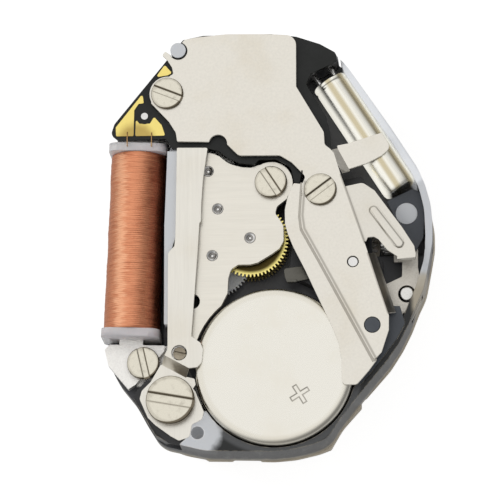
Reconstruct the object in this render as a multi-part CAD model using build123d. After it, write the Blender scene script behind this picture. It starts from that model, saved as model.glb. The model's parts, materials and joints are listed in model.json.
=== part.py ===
from build123d import *
import math
import os

os.makedirs("parts", exist_ok=True)

# Frame: the origin is on the hand axis, in the plane that the dial lies on. +Z points to the back
# of the watch, the side that carries the cell and the coil, and the hands' posts point along -Z.

# Plan of the calibre. Outlines and places are shares of this radius, each point as x, y and, where
# the corner is rounded otherwise than its neighbours, the radius of that corner.
plan_radius = 10.0
corner_radius = 0.06
rim_rounding = 2.5
running_clearance = 0.04
cut_overrun = 0.5

# Heights, from the dial side up
dial_plate_thickness = 0.12
motion_pocket_height = 0.73
web_thickness = 0.30
wheel_thickness = 0.15
centre_wheel_gap = 0.05
third_wheel_gap = 0.15
fifth_wheel_gap = 0.10
seconds_wheel_gap = 0.15
bridge_gap = 0.15
bridge_thickness = 0.25
rim_height = 2.32
block_height = 2.52
board_thickness = 0.20
cover_lift = 0.12
sheet_thickness = 0.13

# Cell
cell_diameter = 6.70
cell_height = 2.60
cell_edge_radius = 0.28
cell_pocket_gap = 0.06
cell_side_gap = 0.14
cell_cap_diameter = 5.70
cell_cap_drop = 0.10
cell_cap_depth = 0.60
gasket_width = 0.10
can_wall = 0.20
insulator_thickness = 0.06
terminal_thickness = 0.06
terminal_length = 4.20
terminal_width = 1.30
terminal_corner = 0.43
contact_gap = 0.01

# Going train: centre distances, directions and teeth, from which the modules follow
fifth_distance = 1.875
fifth_direction = 136.9
third_distance = 1.767
third_direction = 205.1
rotor_distance = 1.70
rotor_direction = 104.0
rotor_pinion_teeth = 8
fifth_wheel_teeth = 48
fifth_pinion_teeth = 12
seconds_wheel_teeth = 60
seconds_pinion_teeth = 8
third_wheel_teeth = 60
third_pinion_teeth = 8
centre_wheel_teeth = 64
tooth_backlash = 0.012
tooth_depth_share = 1.25
tooth_shoulder_share = 0.55
root_width_share = 1.25
shoulder_width_share = 0.80
tip_width_share = 0.42
arbor_radius = 0.09
pivot_radius = 0.05
pivot_length = 0.20
end_shake = 0.03
seconds_arbor_radius = 0.12
pinion_length = 0.24
rotor_pinion_lift = 0.20
magnet_radius = 0.68
magnet_height = 0.30
magnet_air_gap = 0.17
bush_radius = 0.24
bush_bore_gap = 0.02
bush_dish_depth = 0.06

# Hands' posts and motion work
second_seat_radius = 0.10
second_seat_length = 0.50
minute_pipe_radius = 0.375
minute_pipe_length = 0.45
hour_pipe_radius = 0.60
hour_pipe_length = 0.50
pipe_clearance = 0.025
seat_relief_length = 0.55
seat_relief_depth = 0.015
cannon_teeth = 12
minute_wheel_teeth = 36
minute_pinion_teeth = 10
hour_wheel_teeth = 40
setting_wheel_teeth = 24
minute_distance = 2.04
minute_direction = 25.0
setting_direction = -20.0
motion_wheel_gap = 0.06
stud_radius = 0.18
pocket_margin = 0.10

# Setting mechanism
stem_radius = 0.45
stem_height = 0.88
clutch_radius = 0.50
clutch_length = 1.10
clutch_bore = 0.22
clutch_tooth_depth = 0.14
clutch_teeth = 16
clutch_waist_radius = 0.34
clutch_waist_width = 0.26
clutch_travel = 0.28
clutch_clear = 0.06
yoke_thickness = 0.16
yoke_width = 0.42
yoke_short_reach = 0.55
lever_thickness = 0.16
lever_travel = 6.0
lever_pin_radius = 0.30
lever_pin_gap = 0.07
reset_pin_radius = 0.20
reset_pin_gap = 0.05
reset_thickness = 0.14

# Electric parts
coil_radius = 1.19
coil_length = 7.70
coil_height = 1.65
coil_slant = -2.0
wire_diameter = 0.22
coil_turns = 10
layer_clearance = 0.01
flange_thickness = 0.35
flange_width = 2.48
flange_height = 2.30
flange_corner = 0.45
core_width = 1.00
core_thickness = 0.40
bobbin_wall = 0.14
stator_thickness = 0.30
lead_diameter = 0.05
lead_length = 0.60
pad_thickness = 0.03
pad_ring_gap = 0.20
crystal_radius = 0.75
crystal_length = 5.70
crystal_direction = -57.7
crystal_end_radius = 0.14
crystal_lead_radius = 0.10
crystal_lead_length = 0.70
chip_length = 1.90
chip_width = 1.60
chip_thickness = 0.40

# Screws: head radius, head height and slot of each kind
small_head_radius = 0.69
cover_head_height = 0.15
bridge_head_height = 0.25
coil_head_height = 0.30
small_slot_width = 0.26
clamp_head_radius = 1.03
clamp_head_height = 0.40
clamp_slot_width = 0.38
slot_depth = 0.12
head_chamfer = 0.04
shank_radius = 0.22
thread_gap = 0.01
post_radius = 0.45
post_hole_gap = 0.05

# Body of the plastic plate
rim_wall = 0.36
dial_foot_radius = 0.35
dial_foot_depth = 1.00
coil_bay_gap = 0.06
spacer_hole_radius = 0.27
back_post_radius = 0.33
back_post_lift = 0.10
side_post_radius = 0.46

# Sheet metal
rib_lift = 0.05
flange_run = 0.34
flange_drop = 0.42
finger_run = 0.30
foot_run = 0.34
tab_end_drop = 0.38
relief_width = 0.06
fold_inset = 0.05
tab_inset = 0.22
fold_end = 0.03
fold_lift = 0.01

relief_length = 0.55
tab_slope = 0.12
tab_run_share = 0.33

# Slot directions of the screws, in degrees
cover_left_slot = -22.0
cover_right_slot = 37.0
bridge_slot = -57.0
coil_slot = -77.0
clamp_slot = -10.0
stud_slot = -12.0

# Details of the wheels
recess_outer_radius = 1.32
recess_inner_radius = 0.55
recess_depth = 0.05
minute_lift = 0.10
clutch_waist_share = 0.20
lever_stud_radius = 0.16
frame_height = 0.80
side_cover_thickness = 0.16
lever_sweep_radius = 1.30
lead_bay_share = 0.80
lead_across_shares = (-0.17, 0.25)

# Places in plan, as shares of the plan's radius
cell_share = (0.104, -0.558)
coil_share = (-0.494, 0.000)
cover_screw_left_share = (-0.350, 0.624)
cover_screw_right_share = (0.302, 0.193)
bridge_screw_share = (0.090, 0.238)
coil_screw_share = (-0.455, -0.524)
clamp_screw_share = (-0.335, -0.696)
bridge_foot_share = (-0.285, -0.318)
bridge_head_share = (-0.300, 0.385)
crystal_share = (0.487, 0.454)
chip_share = (0.000, 0.640)
stem_end_share = 0.758
clutch_share = 0.605
lever_pin_share = (0.660, -0.235)
lever_stud_share = (0.690, 0.000)
lever_release_share = (0.652, -0.330)
reset_pin_share = (0.437, -0.120)
guard_pin_share = (0.517, -0.393)
guide_pin_share = (-0.449, 0.533)
stop_stud_share = (-0.296, -0.500)
back_post_share = (-0.304, 0.813)
side_post_share = (0.662, 0.110)
spacer_hole_share = (-0.222, -0.833)
dial_foot_shares = ((-0.165, 0.775), (0.494, -0.560))
finger_notch_share = (-0.133, 0.402)
dial_rivet_shares = ((-0.480, 0.400), (-0.420, -0.560), (0.560, 0.380), (0.300, -0.760), (0.180, 0.780))
bridge_hole_share = (-0.245, -0.272)

# Radii of the holes and pins that the places above carry
reset_hole_radius = 0.25
guard_pin_radius = 0.32
guide_pin_radius = 0.15
stop_stud_radius = 0.27
stop_hole_radius = 0.33
finger_notch_radius = 0.39
bridge_hole_radius = 0.33
bridge_boss_radius = 0.92
cover_boss_radius = 0.76
release_hole_radius = 0.15
hole_gap = 0.03

setting_window_radius = 0.50
minute_window_radius = 0.60
minute_window_shift = 0.62
rivet_radius = 0.28
rivet_groove = 0.04

# Outlines, as shares of the plan's radius
dial_plate_shares = (
    (-0.280, 0.850), (-0.200, 0.880), (0.090, 0.882), (0.200, 0.868), (0.370, 0.792), (0.430, 0.735),
    (0.600, 0.480), (0.720, 0.285), (0.744, 0.210), (0.764, 0.143), (0.778, 0.065), (0.778, -0.015),
    (0.764, -0.095), (0.740, -0.223), (0.710, -0.285), (0.677, -0.370), (0.637, -0.450),
    (0.585, -0.532), (0.482, -0.650, 0.010), (0.460, -0.665, 0.010), (0.460, -0.695, 0.010),
    (0.380, -0.785), (0.330, -0.871, 0.010), (0.280, -0.890), (0.180, -0.913), (0.090, -0.920),
    (0.035, -0.918, 0.010), (0.005, -0.895, 0.010), (-0.060, -0.895, 0.010), (-0.090, -0.916, 0.010),
    (-0.190, -0.914, 0.010), (-0.205, -0.905, 0.010), (-0.286, -0.889),
    (-0.336, -0.869, 0.010), (-0.365, -0.830), (-0.450, -0.700), (-0.490, -0.640), (-0.590, -0.520),
    (-0.600, -0.420, 0.010), (-0.580, 0.420, 0.010), (-0.570, 0.480),
)
plate_shares = (
    (-0.300, 0.845), (-0.200, 0.868), (0.090, 0.872), (0.200, 0.862), (0.300, 0.832), (0.385, 0.785),
    (0.425, 0.735), (0.600, 0.475), (0.710, 0.300), (0.742, 0.225), (0.765, 0.140), (0.772, 0.060),
    (0.772, -0.020), (0.758, -0.100), (0.734, -0.225), (0.704, -0.290), (0.670, -0.375),
    (0.630, -0.455), (0.580, -0.530), (0.470, -0.663), (0.375, -0.785), (0.328, -0.860),
    (0.270, -0.887), (0.180, -0.908), (0.090, -0.916), (-0.190, -0.910), (-0.290, -0.885),
    (-0.365, -0.868), (-0.400, -0.843), (-0.450, -0.762), (-0.495, -0.680), (-0.560, -0.600),
    (-0.605, -0.520), (-0.612, -0.430), (-0.590, 0.430), (-0.575, 0.490), (-0.460, 0.640),
)
block_shares = (
    (-0.305, 0.840), (-0.200, 0.866), (0.090, 0.870), (0.200, 0.860), (0.300, 0.830), (0.380, 0.785),
    (0.360, 0.760), (0.255, 0.712), (0.200, 0.660), (0.290, 0.500), (0.330, 0.370), (0.290, 0.300),
    (0.215, 0.290), (0.185, 0.355), (-0.020, 0.365), (-0.070, 0.430), (-0.290, 0.450), (-0.310, 0.560),
    (-0.500, 0.565), (-0.455, 0.640),
)
hollow_shares = (
    (0.400, 0.725), (0.575, 0.455), (0.682, 0.285), (0.715, 0.215), (0.738, 0.120), (0.742, 0.000),
    (0.735, -0.100), (0.700, -0.215), (0.668, -0.290), (0.635, -0.370), (0.600, -0.440),
    (0.545, -0.520), (0.440, -0.640), (0.300, -0.820), (0.220, -0.870), (0.100, -0.888),
    (0.000, -0.885), (-0.080, -0.830), (-0.150, -0.745), (-0.200, -0.740, 0.020), (-0.300, -0.760, 0.020),
    (-0.290, -0.950), (-0.700, -0.950), (-0.700, 0.950), (0.350, 0.950), (0.385, 0.785, 0.020),
)
foot_block_shares = (
    (-0.400, -0.838), (-0.450, -0.757), (-0.492, -0.680), (-0.470, -0.655), (-0.380, -0.590),
    (-0.260, -0.560), (-0.200, -0.700), (-0.235, -0.780), (-0.260, -0.860), (-0.360, -0.862),
)
board_shares = (
    (-0.372, 0.757, 0.010), (-0.320, 0.825), (-0.285, 0.868), (-0.200, 0.885), (0.090, 0.888),
    (0.200, 0.874), (0.300, 0.840), (0.365, 0.802, 0.020), (0.377, 0.775, 0.020), (0.350, 0.750),
    (0.262, 0.710), (0.240, 0.665), (0.325, 0.520), (0.345, 0.440), (0.350, 0.345),
    (0.300, 0.300), (0.220, 0.270), (0.212, 0.228), (0.190, 0.232), (0.175, 0.300, 0.040),
    (0.110, 0.338, 0.040), (0.040, 0.334), (0.020, 0.314), (-0.040, 0.320), (-0.095, 0.345), (-0.130, 0.375),
    (-0.180, 0.388), (-0.330, 0.388), (-0.345, 0.415), (-0.360, 0.432), (-0.560, 0.428, 0.020),
    (-0.592, 0.455, 0.020), (-0.578, 0.500, 0.030), (-0.466, 0.640),
)
pad_apex_shares = ((-0.363, 0.758), (-0.402, 0.704), (-0.350, 0.712), (-0.332, 0.722))
pad_left_shares = (
    (-0.458, 0.632), (-0.572, 0.485), (-0.570, 0.446), (-0.495, 0.446), (-0.493, 0.560),
    (-0.474, 0.588), (-0.452, 0.590),
)
pad_right_shares = (
    (-0.488, 0.446), (-0.486, 0.520), (-0.470, 0.500), (-0.425, 0.500), (-0.408, 0.530),
    (-0.375, 0.492), (-0.360, 0.446),
)
cover_shares = (
    (-0.278, 0.862, 0.015), (-0.220, 0.872), (-0.100, 0.883), (0.090, 0.880), (0.200, 0.872, 0.045),
    (0.200, 0.647), (0.317, 0.445, 0.020), (0.320, 0.390, 0.020), (0.345, 0.370, 0.012),
    (0.360, 0.352), (0.388, 0.257), (0.435, 0.126), (0.487, -0.038), (0.540, -0.208),
    (0.587, -0.354, 0.010), (0.586, -0.416, 0.020), (0.555, -0.510), (0.525, -0.543),
    (0.302, -0.120), (0.224, 0.025, 0.040), (0.217, 0.080), (0.227, 0.224),
    (0.239, 0.252, 0.020), (0.180, 0.315, 0.030), (0.130, 0.346, 0.030), (-0.045, 0.348, 0.030),
    (-0.098, 0.402), (-0.170, 0.410), (-0.307, 0.414), (-0.313, 0.453), (-0.343, 0.502),
    (-0.420, 0.585), (-0.350, 0.695), (-0.325, 0.712), (-0.330, 0.740), (-0.352, 0.775), (-0.372, 0.795),
    (-0.360, 0.812), (-0.330, 0.790),
)
band_shares = (
    (0.188, 0.226), (0.162, 0.165), (0.150, 0.110), (0.151, 0.050), (0.163, 0.005), (0.185, -0.050),
    (0.235, -0.150), (0.285, -0.260), (0.350, -0.400), (0.376, -0.468), (0.387, -0.535),
    (0.387, -0.645, 0.022), (0.450, -0.645, 0.022), (0.500, -0.587), (0.535, -0.540), (0.470, -0.400),
    (0.320, -0.115), (0.240, 0.030), (0.235, 0.220),
)
finger_shares = (
    (0.372, 0.392, 0.003), (0.416, 0.400), (0.562, 0.446), (0.600, 0.380, 0.030), (0.560, 0.345, 0.020),
    (0.498, 0.313), (0.415, 0.287), (0.392, 0.270, 0.003),
)
tab_shares = (
    (0.400, 0.205), (0.480, 0.224, 0.030), (0.530, 0.190), (0.647, 0.027), (0.695, -0.050, 0.010),
    (0.702, -0.088, 0.003), (0.624, -0.097, 0.003), (0.583, -0.070), (0.545, -0.023), (0.527, -0.012, 0.010),
    (0.500, -0.015), (0.490, -0.040), (0.470, -0.010),
)
bridge_shares = (
    (-0.300, 0.395), (-0.179, 0.374), (-0.155, 0.370), (-0.130, 0.358), (-0.098, 0.331), (-0.075, 0.320),
    (-0.035, 0.309), (0.003, 0.306), (0.030, 0.315), (0.090, 0.328, 0.003), (0.180, 0.240, 0.003),
    (0.157, 0.168), (0.115, 0.135, 0.020), (0.107, 0.105, 0.020), (0.128, 0.075), (0.142, 0.050, 0.020),
    (0.143, -0.015, 0.020), (0.125, -0.048), (0.095, -0.070), (0.033, -0.108), (0.000, -0.116),
    (-0.050, -0.116), (-0.080, -0.135, 0.025), (-0.092, -0.175), (-0.095, -0.238), (-0.150, -0.350),
    (-0.220, -0.440), (-0.290, -0.440), (-0.300, -0.360), (-0.300, 0.000),
)
rail_wall_shares = ((-0.362, 0.378), (-0.342, 0.378), (-0.342, -0.375), (-0.362, -0.375))
rail_head_shares = ((-0.362, 0.378), (-0.306, 0.378), (-0.306, -0.375), (-0.362, -0.375))
strip_shares = (
    (-0.309, 0.389), (-0.178, 0.387), (-0.185, 0.340), (-0.197, 0.250), (-0.204, 0.150),
    (-0.206, 0.065), (-0.212, 0.060), (-0.220, -0.080), (-0.231, -0.235), (-0.245, -0.430),
    (-0.206, -0.458, 0.020), (-0.195, -0.485), (-0.200, -0.543, 0.020), (-0.220, -0.563),
    (-0.255, -0.566, 0.003),
    (-0.358, -0.510, 0.003), (-0.345, -0.485), (-0.345, -0.070, 0.015), (-0.318, -0.040), (-0.314, 0.000),
)
foot_shares = (
    (-0.378, -0.538, 0.003), (-0.268, -0.592, 0.003), (-0.236, -0.600, 0.012), (-0.226, -0.622, 0.012),
    (-0.242, -0.642), (-0.232, -0.655), (-0.195, -0.743, 0.012), (-0.203, -0.775, 0.014),
    (-0.245, -0.797, 0.014), (-0.256, -0.850, 0.016), (-0.300, -0.865, 0.014), (-0.335, -0.845),
    (-0.400, -0.797), (-0.432, -0.765), (-0.467, -0.685, 0.020), (-0.458, -0.650, 0.020), (-0.420, -0.612),
)
foot_insulator_shares = (
    (-0.395, -0.832), (-0.448, -0.752), (-0.495, -0.672), (-0.478, -0.645), (-0.440, -0.602),
    (-0.270, -0.605), (-0.235, -0.660), (-0.215, -0.740), (-0.255, -0.800), (-0.275, -0.860),
    (-0.300, -0.882), (-0.345, -0.872),
)
stator_shares = (
    (-0.555, 0.445), (-0.555, 0.520), (-0.330, 0.525), (-0.180, 0.470), (-0.080, 0.400),
    (-0.070, 0.300), (-0.090, 0.205), (-0.250, 0.190), (-0.265, 0.100), (-0.265, -0.350),
    (-0.275, -0.440), (-0.330, -0.520), (-0.430, -0.620), (-0.490, -0.610), (-0.590, -0.505),
    (-0.590, -0.440), (-0.350, -0.440), (-0.335, -0.380), (-0.335, 0.380), (-0.360, 0.445),
)
core_lug_shares = (
    (-0.600, -0.438), (-0.622, -0.460), (-0.605, -0.530), (-0.520, -0.632), (-0.490, -0.613),
    (-0.368, -0.470), (-0.365, -0.445),
)
core_head_shares = ((-0.555, 0.438), (-0.555, 0.512), (-0.400, 0.512), (-0.395, 0.438))
frame_shares = (
    (0.200, 0.175), (0.255, 0.262), (0.395, 0.262), (0.470, 0.275), (0.530, 0.190), (0.560, 0.150),
    (0.560, 0.085), (0.500, 0.080), (0.500, -0.085), (0.560, -0.090), (0.560, -0.150), (0.520, -0.170),
    (0.500, -0.210), (0.480, -0.330), (0.430, -0.310), (0.300, -0.215), (0.160, -0.150),
)
side_cover_shares = (
    (0.578, 0.165), (0.690, 0.218, 0.020), (0.722, 0.200, 0.020), (0.734, 0.150), (0.737, 0.100),
    (0.733, 0.005, 0.010), (0.700, -0.055), (0.655, 0.000),
)
guard_shares = (
    (0.590, -0.300), (0.632, -0.300), (0.652, -0.375), (0.618, -0.440), (0.530, -0.556), (0.470, -0.628),
    (0.452, -0.638), (0.440, -0.610), (0.450, -0.480), (0.470, -0.360), (0.545, -0.330),
)
tab_end_shares = ((0.702, -0.086), (0.624, -0.095), (0.622, -0.109, 0.004), (0.700, -0.100, 0.004))
rib_shares = (
    (0.505, 0.118, 0.020), (0.540, 0.125, 0.020), (0.655, -0.030, 0.020), (0.640, -0.060, 0.020),
    (0.612, -0.052, 0.020),
)
band_fold_shares = (
    (0.227, 0.224), (0.217, 0.080), (0.224, 0.025), (0.302, -0.120), (0.525, -0.543),
)
finger_fold_shares = ((0.399, 0.268), (0.347, 0.366))
tab_fold_shares = ((0.487, -0.038), (0.388, 0.257))
flange_fold_shares = ((0.583, -0.342), (0.500, -0.085))
clamp_fold_shares = ((-0.358, -0.510), (-0.255, -0.566))
lever_shares = (
    (0.645, 0.030, 0.020), (0.710, 0.030, 0.020), (0.708, -0.120), (0.722, -0.210), (0.722, -0.265),
    (0.700, -0.310), (0.680, -0.350, 0.015), (0.645, -0.352, 0.015), (0.605, -0.300), (0.565, -0.195, 0.010),
    (0.640, -0.160),
)
reset_shares = (
    (0.195, -0.118), (0.140, -0.125, 0.010), (0.145, -0.160), (0.155, -0.188, 0.010), (0.200, -0.180),
    (0.300, -0.160),
    (0.420, -0.165), (0.465, -0.140), (0.465, -0.095), (0.420, -0.075), (0.300, -0.105),
)

reset_tab_shares = ((0.155, -0.186), (0.196, -0.174))

# Levels worked out from the heights
z_dial_top = dial_plate_thickness
z_web_bottom = z_dial_top + motion_pocket_height
z_web_top = z_web_bottom + web_thickness
z_centre_wheel = z_web_top + centre_wheel_gap
z_third_wheel = z_centre_wheel + wheel_thickness + third_wheel_gap
z_fifth_wheel = z_third_wheel + wheel_thickness + fifth_wheel_gap
z_seconds_wheel = z_fifth_wheel + wheel_thickness + seconds_wheel_gap
z_bridge = z_seconds_wheel + wheel_thickness + bridge_gap
z_bridge_top = z_bridge + bridge_thickness
z_rim_top = z_dial_top + rim_height
z_board = z_dial_top + block_height
z_board_top = z_board + board_thickness
z_cover = z_board_top + cover_lift
z_cover_top = z_cover + sheet_thickness
z_insulator = z_dial_top
z_terminal = z_insulator + insulator_thickness
z_cell = z_terminal + terminal_thickness
z_cell_top = z_cell + cell_height
z_band = z_cell_top + contact_gap
z_band_top = z_band + sheet_thickness
z_stator_top = z_web_top + stator_thickness
z_coil = coil_height
z_stem = stem_height
z_crystal = z_web_top + crystal_radius + contact_gap
z_finger_top = z_crystal + crystal_radius + contact_gap + sheet_thickness
z_foot = z_rim_top - foot_run / 2
z_foot_top = z_foot + sheet_thickness
z_yoke = z_stem + clutch_radius + clutch_clear
z_lever = z_yoke + yoke_thickness + running_clearance
z_reset = z_seconds_wheel - reset_thickness / 2
z_frame_top = z_web_top + frame_height
z_side_cover = z_lever + lever_thickness + running_clearance
z_side_cover_top = z_side_cover + side_cover_thickness

# Modules and radii worked out from the train
seconds_module = 2 * fifth_distance / (seconds_wheel_teeth + fifth_pinion_teeth)
third_module = 2 * third_distance / (third_wheel_teeth + seconds_pinion_teeth)
centre_module = 2 * third_distance / (centre_wheel_teeth + third_pinion_teeth)
fifth_module = 2 * rotor_distance / (fifth_wheel_teeth + rotor_pinion_teeth)
minute_module = 2 * minute_distance / (minute_wheel_teeth + cannon_teeth)
hour_module = 2 * minute_distance / (hour_wheel_teeth + minute_pinion_teeth)
setting_distance = minute_module * (minute_wheel_teeth + setting_wheel_teeth) / 2
cell_radius = cell_diameter / 2
cap_radius = cell_cap_diameter / 2
core_radius = coil_radius - wire_diameter - layer_clearance
pinion_bore = seconds_arbor_radius + pipe_clearance
hour_bore = minute_pipe_radius + pipe_clearance
plate_tube_hole = minute_pipe_radius + running_clearance


def tip_radius(teeth, module):
    """Outer radius of a toothed wheel: half the teeth and one more, times the module."""
    return module * (teeth / 2 + 1)


def place(share):
    """Plan position of a pair of shares."""
    return Vector(share[0] * plan_radius, share[1] * plan_radius)


def polar(distance, direction):
    """Plan position at a distance and a direction in degrees."""
    return Vector(distance * math.cos(math.radians(direction)), distance * math.sin(math.radians(direction)))


hand_axis = Vector(0, 0)
fifth_place = polar(fifth_distance, fifth_direction)
third_place = polar(third_distance, third_direction)
rotor_place = fifth_place + polar(rotor_distance, rotor_direction)
minute_place = polar(minute_distance, minute_direction)
setting_place = minute_place + polar(setting_distance, setting_direction)


def outline(shares, rounding=corner_radius):
    """Flat face of an outline, each corner rounded as far as its two sides allow."""
    points = [place(share) for share in shares]
    side_share = 0.45
    straight_share = 0.02
    radii = []
    for index, share in enumerate(shares):
        here = points[index]
        before = points[index - 1] - here
        after = points[(index + 1) % len(points)] - here
        opening = math.radians(before.get_angle(after)) / 2
        wanted = share[2] * plan_radius if len(share) > 2 else rounding
        allowed = side_share * min(before.length, after.length) * math.tan(opening)
        nearly_straight = math.cos(opening) < straight_share
        radii.append(0 if nearly_straight else min(wanted, allowed))
    return make_face(FilletPolyline(*points, radius=radii, close=True))


def plate(face, bottom, top):
    """Solid of a flat face between two heights."""
    return extrude(Pos(0, 0, bottom) * face, amount=top - bottom, dir=(0, 0, 1))


def round_bar(spot, radius, bottom, top):
    """Upright cylinder at a plan position between two heights."""
    upright = (Align.CENTER, Align.CENTER, Align.MIN)
    return Pos(spot.X, spot.Y, bottom) * Cylinder(radius, top - bottom, align=upright)


def tapered_bar(spot, low_radius, high_radius, bottom, top):
    """Upright round bar whose radius changes evenly from its bottom to its top."""
    bar = Cone(low_radius, high_radius, top - bottom, align=(Align.CENTER, Align.CENTER, Align.MIN))
    return Pos(spot.X, spot.Y, bottom) * bar


def hole(spot, radius, bottom, top):
    """Cylinder that cuts right through what lies between two heights."""
    return round_bar(spot, radius, bottom - cut_overrun, top + cut_overrun)


def upright_box(low, high, bottom, top):
    """Box between two plan corners and two heights."""
    size = high - low
    corner = (Align.MIN, Align.MIN, Align.MIN)
    return Pos(low.X, low.Y, bottom) * Box(size.X, size.Y, top - bottom, align=corner)


def bent_leaf(start, end, top, run, drop, thickness, inset=0.0, ends=0.0):
    """Sheet that falls away to the right of a fold line by a drop over a run, and starts behind the line."""
    along = (end - start).normalized()
    width = (end - start).length + 2 * ends
    across = Plane(origin=Vector(0, 0, top), x_dir=Vector(along.Y, -along.X), z_dir=along)
    fall = across.y_dir.Z
    root = -inset - fold_inset
    upper = ((root, 0), (run, -drop * fall))
    lower = ((run, (-drop - thickness) * fall), (root, -thickness * fall))
    section = Polyline(*upper, *lower, close=True)
    first = start - along * ends
    return extrude(Pos(first.X, first.Y, 0) * (across * make_face(section)), amount=width, dir=along)


def toothed_face(teeth, module, phase):
    """Face of a toothed wheel, whose first tooth points at the phase angle in degrees."""
    pitch = math.radians(360 / teeth)
    pitch_radius = module * teeth / 2
    root_radius = pitch_radius - tooth_depth_share * module
    half_pitch = pitch / 4 - tooth_backlash / (2 * pitch_radius)
    sides = (
        (root_radius, root_width_share * half_pitch),
        (pitch_radius, half_pitch),
        (pitch_radius + tooth_shoulder_share * module, shoulder_width_share * half_pitch),
        (tip_radius(teeth, module), tip_width_share * half_pitch),
    )
    points = []
    for tooth in range(teeth):
        middle = math.radians(phase) + tooth * pitch
        rising = [(radius, middle - half) for radius, half in sides]
        falling = [(radius, middle + half) for radius, half in reversed(sides)]
        for radius, angle in rising + falling:
            points.append((radius * math.cos(angle), radius * math.sin(angle)))
    return make_face(Polyline(*points, close=True))


def wheel(spot, teeth, module, phase, bottom, top):
    """Toothed disc at a plan position between two heights."""
    return plate(Pos(spot.X, spot.Y) * toothed_face(teeth, module, phase), bottom, top)


def mate_phase(direction, phase, teeth, mate_teeth):
    """Phase of the wheel that meshes with a wheel of a given phase, in a given direction."""
    return direction + 180 - (phase - direction) * teeth / mate_teeth + 180 / mate_teeth


def ring(spot, outer, inner, bottom, top):
    """Upright tube at a plan position between two heights."""
    return round_bar(spot, outer, bottom, top) - hole(spot, inner, bottom, top)


def pivoted_arbor(spot, radius):
    """Arbor between the web and the bridge, with a thin pivot at each end."""
    low = z_web_top + end_shake
    high = z_bridge - end_shake
    return round_bar(spot, radius, low, high) + round_bar(
        spot, pivot_radius, z_web_top - pivot_length + end_shake, z_bridge + pivot_length - end_shake
    )


def slotted_screw(spot, head_radius, head_height, slot_width, angle, seat, end):
    """Cheese-head screw with a slot, its head on a seat and its shank down to an end."""
    head = round_bar(spot, head_radius, seat, seat + head_height)
    head = chamfer(head.faces().sort_by(Axis.Z)[-1].edges(), head_chamfer)
    slot = Box(2 * head_radius + cut_overrun, slot_width, slot_depth + cut_overrun)
    slot_middle = seat + head_height + (cut_overrun - slot_depth) / 2
    slot = Pos(spot.X, spot.Y, slot_middle) * Rot(0, 0, angle) * slot
    return head - slot + round_bar(spot, shank_radius, end, seat)


def coil_frame():
    """Frame of the coil: local Z runs along its axis, and local X across the plan."""
    middle = place(coil_share)
    return Pos(middle.X, middle.Y, z_coil) * Rot(0, 0, coil_slant) * Rot(-90, 0, 0)


def crystal_frame():
    """Frame of the crystal's can: local Z runs along its axis, from its lead end to its blind end."""
    middle = place(crystal_share)
    return Pos(middle.X, middle.Y, z_crystal) * Rot(0, 0, crystal_direction) * Rot(0, 90, 0)


def crystal_space():
    """Space that the crystal's can and its leads take."""
    can = Cylinder(crystal_radius + contact_gap, crystal_length + 2 * pocket_margin)
    bay = Cylinder(lead_bay_share * crystal_radius, 2 * crystal_lead_length + 2 * pocket_margin)
    return crystal_frame() * (can + Pos(0, 0, -crystal_length / 2) * bay)


def lever_space(turn):
    """Space that the setting lever takes when it has turned by an angle in degrees."""
    pin = place(lever_pin_share)
    face = Pos(-pin.X, -pin.Y) * offset(outline(lever_shares), amount=running_clearance)
    turned = Pos(pin.X, pin.Y) * Rot(0, 0, -turn) * face
    return plate(turned, z_web_top, z_side_cover)


def cell_space(gap, bottom, top):
    """Round space that the cell takes, with a gap all round."""
    return round_bar(place(cell_share), cell_radius + gap, bottom, top)


def train_space(gap, bottom, top):
    """Round spaces that the wheels of the going train take, with a gap all round."""
    seconds_reach = tip_radius(seconds_wheel_teeth, seconds_module) + gap
    third_reach = tip_radius(third_wheel_teeth, third_module) + gap
    fifth_reach = tip_radius(fifth_wheel_teeth, fifth_module) + gap
    space = round_bar(hand_axis, seconds_reach, bottom, top)
    space += round_bar(third_place, third_reach, bottom, top)
    return space + round_bar(fifth_place, fifth_reach, bottom, top)


screw_spots = {
    "cover_left": place(cover_screw_left_share),
    "cover_right": place(cover_screw_right_share),
    "bridge": place(bridge_screw_share),
    "coil": place(coil_screw_share),
    "clamp": place(clamp_screw_share),
}
post_tops = {
    "cover_left": z_cover,
    "cover_right": z_cover,
    "bridge": z_bridge,
    "coil": z_web_top,
    "clamp": z_foot,
}
z_post = z_web_bottom + running_clearance


def motion_space():
    """Pocket under the web that the motion work turns in."""
    low = z_dial_top - cut_overrun
    hour_reach = tip_radius(hour_wheel_teeth, hour_module) + pocket_margin
    minute_reach = tip_radius(minute_wheel_teeth, minute_module) + pocket_margin
    setting_reach = tip_radius(setting_wheel_teeth, minute_module) + pocket_margin
    space = round_bar(hand_axis, hour_reach, low, z_web_bottom)
    space += round_bar(minute_place, minute_reach, low, z_web_bottom)
    return space + round_bar(setting_place, setting_reach, low, z_web_bottom)


def stem_space():
    """Open channel that the clutch wheel slides in, down to below the stem."""
    half = clutch_radius + clutch_clear
    start = clutch_share * plan_radius - clutch_length / 2 - clutch_travel - 2 * clutch_clear
    end = stem_end_share * plan_radius - rim_wall / 2
    low = Vector(start, -half)
    high = Vector(end, half)
    return upright_box(low, high, z_stem - half, z_rim_top + cut_overrun)


def stem_hole():
    """Round hole for the stem, through the edge of the plate."""
    start = clutch_share * plan_radius
    length = plan_radius - start
    lying = Cylinder(stem_radius, length, align=(Align.CENTER, Align.CENTER, Align.MIN))
    return Pos(start, 0, z_stem) * Rot(0, 90, 0) * lying


def coil_space():
    """Open bay at the side of the plate that the coil and its flanges lie in."""
    half_width = flange_width / 2 + coil_bay_gap
    half_length = coil_length / 2 + flange_thickness + coil_bay_gap
    depth = flange_height / 2 + coil_bay_gap
    bay = Box(2 * half_width, 2 * depth, 2 * half_length)
    open_side = Pos(-half_width, 0, 0) * Box(2 * half_width, 2 * depth, 2 * half_length)
    above = Pos(-half_width / 2, -depth, 0) * Box(3 * half_width, 2 * depth, 2 * half_length)
    return coil_frame() * (bay + open_side + above)


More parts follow.
